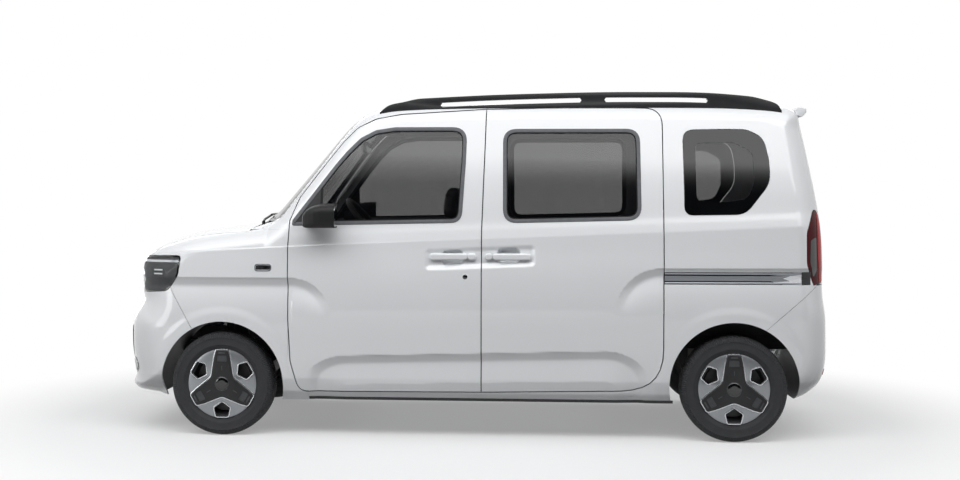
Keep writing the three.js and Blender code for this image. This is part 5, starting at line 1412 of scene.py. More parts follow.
        edge = corner("edge", slit, -0.001, 0.006)
        combine(edge, ("INTERSECT", block("keep", (1.7, 0.478, 0.2), (1.9, 0.9, 0.6))))
        mirrored_pair("air_curtain_frame", soften(edge, 0.0015), "root", finish(gloss_black))
        blade = corner("blade", offset(slit, -0.006), -0.004, 0.006)
        combine(blade, ("INTERSECT", block("keep", (1.7, 0.484, 0.2), (1.9, 0.9, 0.6))))
        mirrored_pair("air_curtain_blade", soften(blade, 0.0015), "root", finish(sprayed_paint))
        well = corner("well", ring_outline(0.575, 0.345, 0.042), -0.0015, 0.008, "X", 0.29, 0.40)
        mirrored_pair("fog_lamp_surround", soften(well, 0.002), "root", finish(gloss_black))
        lens = corner("lens", ring_outline(0.575, 0.345, 0.031), -0.004, 0.004, "X", 0.29, 0.40)
        mirrored_pair("fog_lamp_lens", soften(lens, 0.001), "root", finish(light_guide))

        bezel = patch("bezel", plate_outline(1.006, 1.095, 0.847, 0.885, 0.018), -0.002, 0.006, step=0.008)
        mirrored_pair("side_marker_bezel", soften(bezel, 0.0012), "root", finish(grey_bezel_and_lit_seal))
        lens = patch("lens", plate_outline(1.0105, 1.0905, 0.8515, 0.8805, 0.014), -0.0035, 0.003, step=0.008)
        mirrored_pair("side_marker_lens", soften(lens, 0.001), "root", finish(metallised))
        cell = patch("cell", plate_outline(1.028, 1.048, 0.857, 0.876, 0.006), -0.0042, 0.002, step=0.006)
        mirrored_pair("side_marker_cell", soften(cell, 0.0006), "root", finish(gloss_black))
        # Arch liner: a half drum inside the fender and the bumper.
        x, z = ARCHES[0]
        liner = spun("liner", [(ARCH_RADIUS + 0.001, 0.360), (ARCH_RADIUS + 0.005, 0.360), (ARCH_RADIUS + 0.005, 0.760),
                               (ARCH_RADIUS + 0.001, 0.760)], x, z, segments=96)
        inside = skin_shell("inside", spaced((0.85, 1.72, 0.03)), spaced((0.15, 0.75, 0.03)), across_ray, 0.010, 0.42)
        combine(liner, ("INTERSECT", block("top", (0.9, 0.36, 0.215), (1.72, OUT, 0.7))), ("INTERSECT", inside))
        mirrored_pair("front_arch_liner", shade(liner), "root", finish(moulded_black))


class VAN_OT_roof(bpy.types.Operator):
    """Roof panel and roof rails"""

    bl_idname = "van.roof"
    bl_label = "Roof"

    # How far the rail's upper edge falls below its highest line, along the car.
    FALL = staticmethod(through(((-1.590, 0.100), (-1.570, 0.068), (-1.490, 0.039), (-1.420, 0.024), (-1.190, 0.005),
                                 (-0.880, 0), (-0.640, 0), (-0.340, 0.005), (-0.110, 0.011), (0.040, 0.017),
                                 (0.190, 0.024), (0.270, 0.029), (0.340, 0.044), (0.420, 0.062), (0.467, 0.096))))

    def execute(self, context):
        roof = skin_shell("roof_skin", spaced((-1.662, -1.5, 0.02), (-1.5, 0.3, 0.05), (0.3, 0.8, 0.02)),
                          spaced((-0.532, 0.532, 0.028)), up_ray, 0, 0.022)
        keep = block("keep", (-1.662, -ROOF_JOINT + 0.0003, 1.4), (0.8, ROOF_JOINT - 0.0003, 1.8))
        combine(roof, ("INTERSECT", keep), ("DIFFERENCE", prism("screen", SCREEN, "X", 0, 1.4)),
                ("DIFFERENCE", prism("tailgate", offset(TAILGATE, SHUT_LINE), "X", -2, TAILGATE_AXIS[0] + 0.001)))
        lining_and_gap_shade(roof, 0.022)
        polish(roof)
        dress(roof, "root", [finish(sprayed_paint), finish(headliner)], stands_for=["roof_panel"])

        def crown(x, below=0.0):
            return x, ROOF_HEIGHT + 0.030 - float(self.FALL(x)) - below

        xs = [float(x) for x in spaced((-1.590, -1.400, 0.012), (-1.400, 0.180, 0.05), (0.180, 0.467, 0.012))]
        bar = prism("bar", [crown(x) for x in xs] + [(0.467, 1.55), (-1.590, 1.55)], "Y", 0.543, 0.577)
        for front, rear in ((0.150, -0.578), (-0.695, -1.220)):
            span = [float(x) for x in spaced((rear + 0.008, front - 0.008, 0.04))]
            ends = [(front, crown(front)[1] - 0.039)], [(rear, crown(rear)[1] - 0.039)]
            slot = [crown(x, 0.027) for x in span] + ends[0] + [crown(x, 0.051) for x in reversed(span)] + ends[1]
            combine(bar, ("DIFFERENCE", prism("slot", slot, "Y", 0.5, 0.6)))
        under = skin_shell("under", spaced((-1.700, 0.600, 0.03)), spaced((0.510, 0.610, 0.02)), up_ray, -0.0005, 0.4)
        combine(bar, ("DIFFERENCE", under))
        rail = soften(bar, 0.0055, 3, 50)
        mirrored_pair("roof_rail_bar", rail, "root", finish(satin_rail), ["roof_rail"])
        return {"FINISHED"}


class VAN_OT_rear_panels(bpy.types.Operator):
    """Tailgate with spoiler, handle and wiper, and the rear bumper"""

    bl_idname = "van.rear_panels"
    bl_label = "Rear panels"

    def execute(self, context):
        paint = [finish(sprayed_paint)]
        gate = skin_shell("tailgate_skin", spaced((-0.64, 0.64, 0.024)), spaced((2.12, 2.5, 0.012), (2.5, 3.9, 0.02)),
                          fanning_ray(-1.25, 1.15), 0, WALL)
        combine(gate, ("INTERSECT", prism("edge", TAILGATE, "X", -2, -1.56)),
                ("DIFFERENCE", prism("window", TAILGATE_WINDOW, "X", -2, -1.4)),
                ("DIFFERENCE", block("front", (TAILGATE_AXIS[0] - 0.006, -OUT, 1), (-1, OUT, 2))))
        lining_and_gap_shade(gate, WALL)
        polish(gate)
        dress(gate, "tailgate", [finish(sprayed_paint), finish(trim_moulding)], ["tailgate"])
        spoiler = prism("tailgate_spoiler", rounded([
            (-1.676, 1.690, 0), (-1.702, 1.6915, 0.02), (-1.727, 1.682, 0.006), (-1.729, 1.664, 0.006),
            (-1.700, 1.632, 0.02), (-1.672, 1.655, 0)]), "Y", -0.500, 0.500)
        dress(soften(spoiler, 0.006, 3), "tailgate", paint)
        light = block("high_brake_light", (-1.7305, -0.110, 1.666), (-1.721, 0.110, 1.677))
        dress(soften(light, 0.002), "tailgate", finish(red_band))

        def rear(name, outline, depth, thickness, hole=None, low=2.9, high=3.75, reach=0.40, step=0.015):
            return patch(name, outline, depth, thickness, hole, fanning_ray(-1.25, 1.15), "X",
                         ((-reach, reach, 0.02), (low, high, step)))

        plinth = rear("rear_plate_base", plate_outline(-0.240, 0.240, 0.800, 0.925, 0.010), -0.002, 0.008)
        dress(soften(plinth, 0.002), "tailgate", finish(moulded_black))
        plate = rear("rear_plate", plate_outline(-0.220, 0.220, 0.808, 0.914, 0.006), -0.004, 0.002)
        dress(shade(plate), "tailgate", finish(plate_sheet))
        bar = rear("tailgate_handle", plate_outline(-0.260, 0.260, 0.948, 0.992, 0.016), -0.016, 0.024)
        dress(soften(bar, 0.006, 3), "tailgate", paint)
        pivot = rod("pivot", [(-1.790, 0, 1.088), (-1.835, 0, 1.088)], 0.018, 24)
        arm = rod("arm", [(-1.828, 0.005, 1.088), (-1.822, 0.130, 1.108), (-1.818, 0.250, 1.116)], 0.006, 12)
        blade = rod("blade", [(-1.8165, 0.060, 1.1285), (-1.8125, 0.250, 1.1285), (-1.802, 0.400, 1.1285)], 0.004, 12)
        dress(united("tailgate_wiper", pivot, arm, blade), "tailgate", finish(moulded_black))

        bumper = skin_shell("rear_bumper_skin", spaced((math.pi - 1.3, math.pi + 1.3, 0.022)),
                            spaced((0.196, 0.34, 0.010), (0.34, 0.785, 0.016)), turning_ray(-1.15), 0, SKIN)
        shelf = block("shelf", (-2, -0.592 - SHUT_LINE, 0.632 - SHUT_LINE), (-1.4, 0.592 + SHUT_LINE, 1.2))
        combine(bumper, ("INTERSECT", past_split("bumper", BUMPER_SPLIT_REAR, 0.790, -2, -0.003)),
                *less_both(arch_drum(1)),
                *less_both(lamp_block("lamp", TAILLAMP_SIDE, TAILLAMP_END, 0.001, -1.9, -1.6)),
                ("DIFFERENCE", shelf))
        lining_and_gap_shade(bumper, SKIN)
        polish(bumper)
        dress(bumper, "root", [finish(sprayed_paint), finish(moulded_black)], ["rear_bumper"])
        reflector = patch("reflector", plate_outline(0.440, 0.620, 0.330, 0.360, 0.010), -0.002, 0.006, None,
                          turning_ray(-1.15), "X", ((math.pi - 1.1, math.pi - 0.4, 0.02), (0.32, 0.37, 0.01)))
        mirrored_pair("rear_reflector", soften(reflector, 0.0015), "root", finish(red_band))
        skirt = patch("rear_skirt", plate_outline(-0.360, 0.360, 0.200, 0.290, 0.020), -0.002, 0.006, None,
                      turning_ray(-1.15), "X", ((math.pi - 0.6, math.pi + 0.6, 0.02), (0.198, 0.30, 0.01)))
        dress(soften(skirt, 0.002), "root", finish(moulded_black))
        return {"FINISHED"}


class VAN_OT_lamps(bpy.types.Operator):
    """Headlamps and tail lamps"""

    bl_idname = "van.lamps"
    bl_label = "Lamps"

    def execute(self, context):
        def corner(name, depth, thickness, side, end, gap, front=True, extra=None):
            if front:
                columns, rows = (0.28, 1.27, 0.016), (0.695, 0.950, 0.010)
                ray, ends = turning_ray(1.2), (1.4, 1.9)
            else:
                columns, rows = (math.pi - 1.12, math.pi - 0.53, 0.012), (0.735, 1.195, 0.010)
                ray, ends = turning_ray(-1.15), (-1.9, -1.6)
            shell = skin_shell(name, spaced(columns), spaced(rows), ray, depth, thickness)
            cuts = [("INTERSECT", lamp_block("lamp", side, end, gap, *ends))]
            if extra:
                cuts.append(("INTERSECT", extra))
            return combine(shell, *cuts)

        def front_lamp(name, depth, thickness, gap, extra=None):
            return corner(name, depth, thickness, HEADLAMP_SIDE, HEADLAMP_END, gap, True, extra)

        def rear_lamp(name, depth, thickness, gap, extra=None):
            return corner(name, depth, thickness, TAILLAMP_SIDE, TAILLAMP_END, gap, False, extra)

        lens = front_lamp("lens", 0.001, 0.003, -0.0012)
        mirrored_pair("headlamp_lens", lens, "root", finish(lamp_lens), on_skin_at=0.001)
        bowl = front_lamp("bowl", 0.008, 0.038, -0.0012)
        mirrored_pair("headlamp_bowl", shade(bowl), "root", finish(lamp_black), ["headlamp"])
        rim = front_lamp("rim", 0.0008, 0.012, -0.0012)
        combine(rim, ("DIFFERENCE", lamp_block("hole", HEADLAMP_SIDE, HEADLAMP_END, -0.009, 1.4, 1.9)))
        mirrored_pair("headlamp_rim", shade(rim), "root", finish(gloss_black))
        band = [(1.450, 0.890), (1.900, 0.888), (1.900, 0.899), (1.450, 0.902)]
        strip = front_lamp("strip", 0.0045, 0.004, -0.008, prism("band", band, "Y", 0, OUT))
        mirrored_pair("headlamp_strip", shade(strip), "root", finish(metallised))
        bars = [plate_outline(1.588, 1.640, z, z + 0.007, 0.003) for z in (0.826, 0.846)]
        for k, bar in enumerate(bars):
            bar = front_lamp("bar", 0.0045, 0.004, -0.006, prism("b", bar, "Y", 0, OUT))
            mirrored_pair(f"headlamp_bar_{k + 1}", shade(bar), "root", finish(light_guide))
        for k, y in enumerate((0.470, 0.560)):
            ring = front_lamp("ring", 0.0050, 0.004, -0.006, prism("r", ring_outline(y, 0.812, 0.036), "X", 1.4, 1.9))
            combine(ring, ("DIFFERENCE", prism("h", ring_outline(y, 0.812, 0.029), "X", 1.4, 1.9)))
            mirrored_pair(f"headlamp_ring_{k + 1}", shade(ring), "root", finish(metallised))
            eye = front_lamp("eye", 0.0058, 0.004, -0.006, prism("e", ring_outline(y, 0.812, 0.026), "X", 1.4, 1.9))
            mirrored_pair(f"headlamp_eye_{k + 1}", shade(eye), "root", finish(smoked_lens))

        body = rear_lamp("tail", 0.003, 0.042, -0.0012)
        mirrored_pair("tail_lamp_body", shade(body), "root", finish(lamp_black), ["tail_lamp"])
        lens = rear_lamp("lens", 0.0008, 0.004, -0.0012)
        mirrored_pair("tail_lamp_lens", lens, "root", finish(red_lens), on_skin_at=0.0008)
        outer = rounded([(-1.900, 1.160, 0), (-1.752, 1.150, 0.010), (-1.7505, 0.980, 0.060), (-1.7560, 0.860, 0.05),
                         (-1.765, 0.776, 0.010), (-1.900, 0.770, 0)])
        band = rear_lamp("band", -0.0010, 0.004, -0.004, prism("outer", outer, "Y", 0, OUT))
        mirrored_pair("tail_lamp_band", band, "root", finish(red_band), on_skin_at=-0.0010)
        dark = rounded([(-1.712, 1.010, 0.010), (-1.745, 1.030, 0.010), (-1.744, 0.860, 0.010), (-1.728, 0.820, 0.010),
                        (-1.708, 0.900, 0.020)])
        reverse = rear_lamp("reverse", -0.0004, 0.002, -0.004, prism("dark", dark, "Y", 0, OUT))
        mirrored_pair("tail_lamp_reverse", shade(reverse), "root", finish(gloss_black))
        return {"FINISHED"}


class VAN_OT_trim(bpy.types.Operator):
    """Slide rails, door mirrors, cowl and windscreen wipers"""

    bl_idname = "van.trim"
    bl_label = "Trim"

    def execute(self, context):
        low, high, end = TRACK_SLOT["low"], TRACK_SLOT["high"], TRACK_SLOT["rear"]
        low, high = low + 0.0005, high - 0.0005
        back = patch("back", [(end + 0.001, low), (C_LINE - 0.006, low), (C_LINE - 0.006, high), (end + 0.001, high)],
                     0.010, 0.014, step=0.02)
        mirrored_pair("slide_rail_channel", shade(back), "root", finish(channel_rubber))
        strips = []
        for z0, z1, depth in ((0.8395, 0.8490, 0.0010), (0.8075, 0.8335, 0.0040), (0.7925, 0.8020, 0.0010)):
            strips.append(patch("strip", [(-1.664, z0), (C_LINE - 0.007, z0), (C_LINE - 0.007, z1), (-1.664, z1)],
                                depth, 0.010, step=0.02))
        mirrored_pair("slide_rail_strips", soften(united("strips", *strips), 0.0014), "root", finish(drawn_rail))
        cap = patch("cap", plate_outline(-1.7115, -1.664, 0.7885, 0.8540, 0.004), -0.0010, 0.012, step=0.01)
        mirrored_pair("slide_rail_cap", soften(cap, 0.0015), "root", finish(moulded_black))
        self.mirrors()
        self.cowl()
        return {"FINISHED"}

    def mirrors(self):
        head = tapered("head", rounded([(0.776, 1.072, 0.024), (0.897, 1.072, 0.032), (0.895, 1.184, 0.044),
                                        (0.782, 1.199, 0.034)], 10), "X",
                       ((0.6600, 0.985, (0, 0)), (0.6625, 1.0, (0, 0)), (0.700, 1.0, (0, 0)),
                        (0.735, 0.985, (0, -0.001)), (0.765, 0.94, (-0.001, -0.004)), (0.790, 0.86, (-0.003, -0.009)),
                        (0.808, 0.75, (-0.006, -0.015)), (0.821, 0.60, (-0.009, -0.021)),
                        (0.828, 0.42, (-0.012, -0.026)), (0.8300, 0.26, (-0.014, -0.029))))
        mirrored_pair("mirror_shell", shade(head, 50), "front_door", finish(mirror_black), ["mirror"])
        face = tapered("face", rounded([(0.783, 1.080, 0.020), (0.890, 1.080, 0.026), (0.888, 1.179, 0.036),
                                        (0.789, 1.191, 0.028)], 10), "X", ((0.6585, 1, (0, 0)), (0.661, 1, (0, 0))))
        mirrored_pair("mirror_face", shade(face), "front_door", finish(mirror_glass))
        foot = tapered("foot", rounded([(0.770, 1.088, 0.010), (0.842, 1.086, 0.008), (0.838, 1.136, 0.012),
                                        (0.775, 1.134, 0.012)]), "Y",
                       ((0.690, 1.10, (0, 0)), (0.712, 1.0, (0, 0)), (0.735, 0.85, (0, 0.001)),
                        (0.790, 0.80, (-0.004, 0.002))))
        mirrored_pair("mirror_foot", soften(foot, 0.003), "front_door", finish(mirror_black))

    def cowl(self):
        shell = skin_shell("cowl_skin", spaced((-0.668, 0.668, 0.03)), spaced((1.30, 1.75, 0.015)),
                           fanning_ray(1.13, 0.7), 0.004, 0.016)
        combine(shell, ("INTERSECT", block("keep", (1.0, -0.659, 0.9), (1.129, 0.659, 1.2))),
                ("DIFFERENCE", prism("screen", offset(SCREEN, 0.0004), "X", 0, 1.4)))
        dress(shade(shell), "root", finish(moulded_black), ["cowl_panel"])
        for number, y in enumerate(WIPERS):
            side = math.copysign(1, y)
            across = y - side * np.array([0.370, 0.280, 0.185, 0.100, 0.020])
            level = np.full_like(across, 1.126)
            start = np.stack([np.full_like(across, 0.7), across, level], 1)
            on = on_skin(start, np.tile([1.0, 0, 0], (len(across), 1)))
            blade = [Vector(p) + Vector((0.006, 0, 0.003)) for p in on]
            pivot = rod("pivot", [(1.110, y, 1.060), (1.110, y, 1.098)], 0.009)
            arm = rod("arm", [(1.110, y, 1.096), (1.109, y - side * 0.030, 1.108),
                              blade[2] + Vector((0.006, 0, 0.002))], 0.0060)
            spine = rod("spine", [p + Vector((0.004, 0, 0.003)) for p in blade], 0.0060, 12)
            lip = rod("lip", blade, 0.003, 8)
            wiper = united(f"windscreen_wiper_{number + 1}", pivot, arm, spine, lip)
            dress(wiper, "root", finish(moulded_black))


class VAN_OT_wheels(bpy.types.Operator):
    """Tyres, wheel covers and the steel wheels behind them"""

    bl_idname = "van.wheels"
    bl_label = "Wheels"

    # Tyre section by radius and distance from the middle plane, outer half.
    TYRE_SIDE = ((0.1655, 0.0560), (0.1700, 0.0600), (0.1790, 0.0610), (0.1850, 0.0660), (0.1990, 0.0735),
                 (0.2010, 0.0752), (0.2030, 0.0752), (0.2050, 0.0750), (0.2200, 0.0775), (0.2360, 0.0768),
                 (0.2380, 0.0778), (0.2400, 0.0762), (0.2500, 0.0722), (0.2580, 0.0650), (0.2625, 0.0570),
                 (0.2650, 0.0470), (0.2600, 0.0465), (0.2600, 0.0400), (0.2655, 0.0395), (0.2660, 0.0160),
                 (0.2600, 0.0155), (0.2600, 0.0090), (0.2660, 0.0085))
    STAR = ((0.033, -0.0572, 0.042), (0.066, -0.053, 0.020), (0.132, -0.043, 0.030), (0.173, -0.032, 0.014),
            (0.173, 0.032, 0.014), (0.132, 0.043, 0.030), (0.066, 0.053, 0.020))
    HOLE = ((-0.039, 0, 0.010), (-0.008, -0.043, 0.010), (0.038, -0.032, 0.010), (0.038, 0.032, 0.010),
            (-0.008, 0.043, 0.010))

    def threefold(self, points, x, arm=None, flip=False):
        """Corner points given by distance along an arm and to its left, round the hub for one arm or all three."""
        out = []
        for k in range(3) if arm is None else [arm]:
            turn = 2 * math.pi * k / 3 + math.pi / 2 + (math.pi if flip else 0)
            for along, left, radius in points:
                out.append((x + along * math.cos(turn) - left * math.sin(turn),
                            TYRE_RADIUS + along * math.sin(turn) + left * math.cos(turn), radius))
        return out

    def execute(self, context):
        for index, end in enumerate(("front", "rear")):
            self.wheel(index, end, ARCHES[index][0])
        return {"FINISHED"}

    def wheel(self, index, end, x):
        y0 = HALF_TRACK
        body = f"wheel_{end}"

        def turned(name, section, closed=True, segments=120):
            return spun(name, [(r, y + y0) for r, y in section], x, TYRE_RADIUS, closed, segments)

        def across(name, outline, low, high):
            return prism(name, outline, "Y", low + y0, high + y0)

        side = list(self.TYRE_SIDE)
        tyre = turned("tyre", side + [(r, -y) for r, y in reversed(side)], segments=144)
        mirrored_pair(f"tyre_{end}_rubber", shade(tyre, 50), body, finish(tyre_rubber, index), [f"tyre_{end}"])

        hole = [(-(p + 0.132), -q, radius) for p, q, radius in self.HOLE]
        holes = [rounded(self.threefold(hole, x, arm), 5) for arm in range(3)]
        disc = turned("disc", [(0, 0.057), (0.150, 0.055), (0.1755, 0.054), (0.1785, 0.0565), (0.1790, 0.0600),
                               (0.1765, 0.0645), (0.168, 0.0675), (0.120, 0.0690), (0, 0.0690)], closed=False)
        combine(disc, *[("DIFFERENCE", across("hole", hole, 0, 0.1)) for hole in holes])
        mirrored_pair(f"wheel_cover_{end}", soften(disc, 0.0016, 2, 50), body, finish(wheel_silver),
                      [f"wheel_{end}"])
        # Raised rims round the holes, drawn in a lighter silver as a painted highlight.
        rims = []
        for hole in holes:
            rim = across("rim", offset(hole, 0.0055), 0.062, 0.0712)
            combine(rim, ("DIFFERENCE", across("inner", offset(hole, -0.0005), 0, 0.1)))
            rims.append(soften(rim, 0.0022, 2, 50))
        mirrored_pair(f"wheel_cover_{end}_hole_edges", united("rims", *rims), body, finish(silver_painted_highlight))

        # The star's border is drawn in the same lighter silver, a painted highlight on its bevel.
        outline = rounded(self.threefold(self.STAR, x), 8)
        edge = soften(across("edge", offset(outline, 0.005), 0.060, 0.0715), 0.0025, 2, 50)
        mirrored_pair(f"wheel_star_{end}_border", edge, body, finish(silver_painted_highlight))
        star = soften(across("star", outline, 0.060, 0.0765), 0.0055, 3, 50)
        pockets = [across("pocket", rounded(self.threefold([(0.113, -0.027, 0.006), (0.146, -0.0245, 0.008),
                                                            (0.146, 0.0245, 0.008), (0.113, 0.027, 0.006)], x, arm)),
                          0.0735, 0.09) for arm in range(3)]
        combine(star, *[("DIFFERENCE", pocket) for pocket in pockets])
        mirrored_pair(f"wheel_star_{end}", shade(star), body, finish(star_black))
        floors = [across("floor", rounded(self.threefold([(0.114, -0.0265, 0.006), (0.145, -0.024, 0.008),
                                                          (0.145, 0.024, 0.008), (0.114, 0.0265, 0.006)], x, arm)),
                         0.070, 0.0742) for arm in range(3)]
        grey = finish(panel_grey)
        mirrored_pair(f"wheel_star_{end}_panels", shade(united("floors", *floors)), body, grey)
        slots = []
        for arm in range(3):
            tip = rounded(self.threefold([(0.155, -0.018, 0.003), (0.162, -0.018, 0.003), (0.162, 0.018, 0.003),
                                          (0.155, 0.018, 0.003)], x, arm), 4)
            slit = rounded(self.threefold([(0.068, -0.0022, 0.002), (0.092, -0.0022, 0.002), (0.092, 0.0022, 0.002),
                                           (0.068, 0.0022, 0.002)], x, arm), 4)
            slots += [across("tip", tip, 0.070, 0.0772), across("slit", slit, 0.070, 0.0772)]
        mirrored_pair(f"wheel_star_{end}_inlays", soften(united("slots", *slots), 0.0008), body, grey)
        cap = turned("cap", [(0, 0.066), (0.034, 0.066), (0.034, 0.0780), (0.031, 0.0800), (0.018, 0.0808),
                             (0, 0.0810)], False, 96)
        mirrored_pair(f"wheel_cap_{end}", shade(cap, 50), body, finish(gloss_black))
        ring = turned("ring", [(0.0345, 0.070), (0.0372, 0.070), (0.0372, 0.0778), (0.0358, 0.0788),
                               (0.0345, 0.0780)], True, 96)
        mirrored_pair(f"wheel_cap_{end}_ring", shade(ring, 50), body, grey)
        barrel = turned("barrel", [(0.020, 0.022), (0.074, 0.022), (0.096, 0.006), (0.146, 0.006), (0.152, -0.056),
                                   (0.1765, -0.0635), (0.1765, -0.0610), (0.1655, -0.0545), (0.1575, -0.020),
                                   (0.1575, 0.030), (0.1645, 0.0545), (0.1740, 0.0545), (0.1740, 0.052),
                                   (0.160, 0.050), (0.150, 0.028), (0.144, 0.012), (0.098, 0.012), (0.076, 0.028),
                                   (0.020, 0.028)])
        mirrored_pair(f"steel_wheel_{end}", shade(barrel, 50), body, finish(dipped_steel))


class VAN_OT_seats(bpy.types.Operator):
    """Cloth seats with stitched channels"""

    bl_idname = "van.seats"
    bl_label = "Seats"

    def execute(self, context):
        y = SEAT_Y
        cushion = rounded([(0.166, 0.500, 0.03), (0.172, 0.606, 0.05), (0.676, 0.634, 0.06), (0.678, 0.505, 0.04)], 5)
        back = rounded([(0.152, 0.560, 0.04), (0.244, 0.575, 0.04), (0.144, 1.096, 0.05), (0.062, 1.104, 0.04)], 5)
        rest = rounded([(0.074, 1.118, 0.02), (0.142, 1.118, 0.02), (0.122, 1.278, 0.035), (0.062, 1.278, 0.035)], 5)
        self.pad("front_seat_cushion", cushion, y - 0.228, y + 0.228, (y - 0.135, y + 0.135), (0.30, 0.44), "x", True)
        self.pad("front_seat_back", back, y - 0.223, y + 0.223, (y - 0.130, y + 0.130), (0.70, 0.84, 0.98), "z", True)
        self.pad("front_seat_headrest", rest, y - 0.110, y + 0.110, (), (), "z", True, 0.008)
        base = united("base", block("a", (0.232, y - 0.188, CABIN_FLOOR), (0.618, y + 0.188, 0.400)),
                      block("b", (0.180, y - 0.215, 0.395), (0.655, y + 0.215, 0.492)))
        mirrored_pair("front_seat_base", soften(base, 0.010, 3), "root", finish(seat_vinyl),
                      ["front_seat"])
        stems = united("stems", rod("a", [(0.104, y - 0.05, 1.085), (0.100, y - 0.05, 1.135)], 0.006),
                       rod("b", [(0.104, y + 0.05, 1.085), (0.100, y + 0.05, 1.135)], 0.006))
        mirrored_pair("front_seat_stems", stems, "root", finish(metallised))

        cushion = rounded([(-0.684, 0.482, 0.03), (-0.676, 0.576, 0.04), (-0.244, 0.594, 0.05),
                           (-0.243, 0.486, 0.04)], 5)
        back = rounded([(-0.690, 0.560, 0.04), (-0.606, 0.590, 0.04), (-0.696, 1.046, 0.05), (-0.778, 1.046, 0.04)], 5)
        thirds = (-0.19, 0.19)
        self.pad("rear_seat_cushion", cushion, -0.556, 0.556, thirds, (-0.54, -0.40), "x", False)
        self.pad("rear_seat_back", back, -0.556, 0.556, thirds, (0.72, 0.88), "z", False)
        base = block("rear_seat_base", (-0.642, -0.520, CABIN_FLOOR), (-0.280, 0.520, 0.486))
        dress(soften(base, 0.012, 3), "root", finish(seat_vinyl), ["rear_seat"])
        return {"FINISHED"}

    def pad(self, name, outline, low, high, long_seams, cross_seams, along, both, cap=0.012):
        """A stuffed pad: swollen as cloth, then drawn in along its seams."""
        piece = plump(prism(name, outline, "Y", low, high), cap=cap)
        mesh = piece.data
        co, normals = coordinates(mesh), per_item(mesh.vertices, "normal")
        # Seams run where the pad faces the sitter.
        facing = smooth(normals[:, 2] if along == "x" else normals[:, 0], 0.35, 0.75)
        span = co[:, 0] if along == "x" else co[:, 2]
        drop = sum((np.exp(-((co[:, 1] - seam) / 0.0075) ** 2) for seam in long_seams), np.zeros(len(co)))
        middle = np.abs(co[:, 1] - (low + high) / 2) < (high - low)
        for seam in cross_seams:
            drop = np.maximum(drop, np.exp(-((span - seam) / 0.0075) ** 2) * middle)
        shape_mesh(mesh, co - normals * (0.0065 * np.minimum(drop, 1) * facing)[:, None])
        piece.data.shade_smooth()
        cloth = finish(woven_cloth) if "headrest" not in name else finish(seat_vinyl)
        if both:
            for part in mirrored_pair(name, piece, "root", cloth):
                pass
        else:
            dress(piece, "root", cloth)


def plump(piece, voxel=0.0075, pressure=4.0, cap=0.012):
    """Swells a closed form as stuffed cloth, moving no point further than a cap."""
    remesh = piece.modifiers.new("remesh", "REMESH")
    remesh.mode, remesh.voxel_size = "VOXEL", voxel
    apply_modifiers(piece)
    start = coordinates(piece.data)
    cloth = piece.modifiers.new("cloth", "CLOTH")
    cloth.settings.use_pressure = True
    cloth.settings.uniform_pressure_force = pressure
    cloth.settings.effector_weights.gravity = 0
    scene = bpy.context.scene
    for step in range(1, 21):
        scene.frame_set(step)
    swollen = bpy.data.meshes.new_from_object(piece.evaluated_get(bpy.context.evaluated_depsgraph_get()))
    move = coordinates(swollen) - start
    bpy.data.meshes.remove(swollen)
    piece.modifiers.clear()
    scene.frame_set(1)
    length = np.maximum(np.linalg.norm(move, axis=1), 1e-9)
    shape_mesh(piece.data, start + move * np.minimum(1, cap / length)[:, None])
    return piece


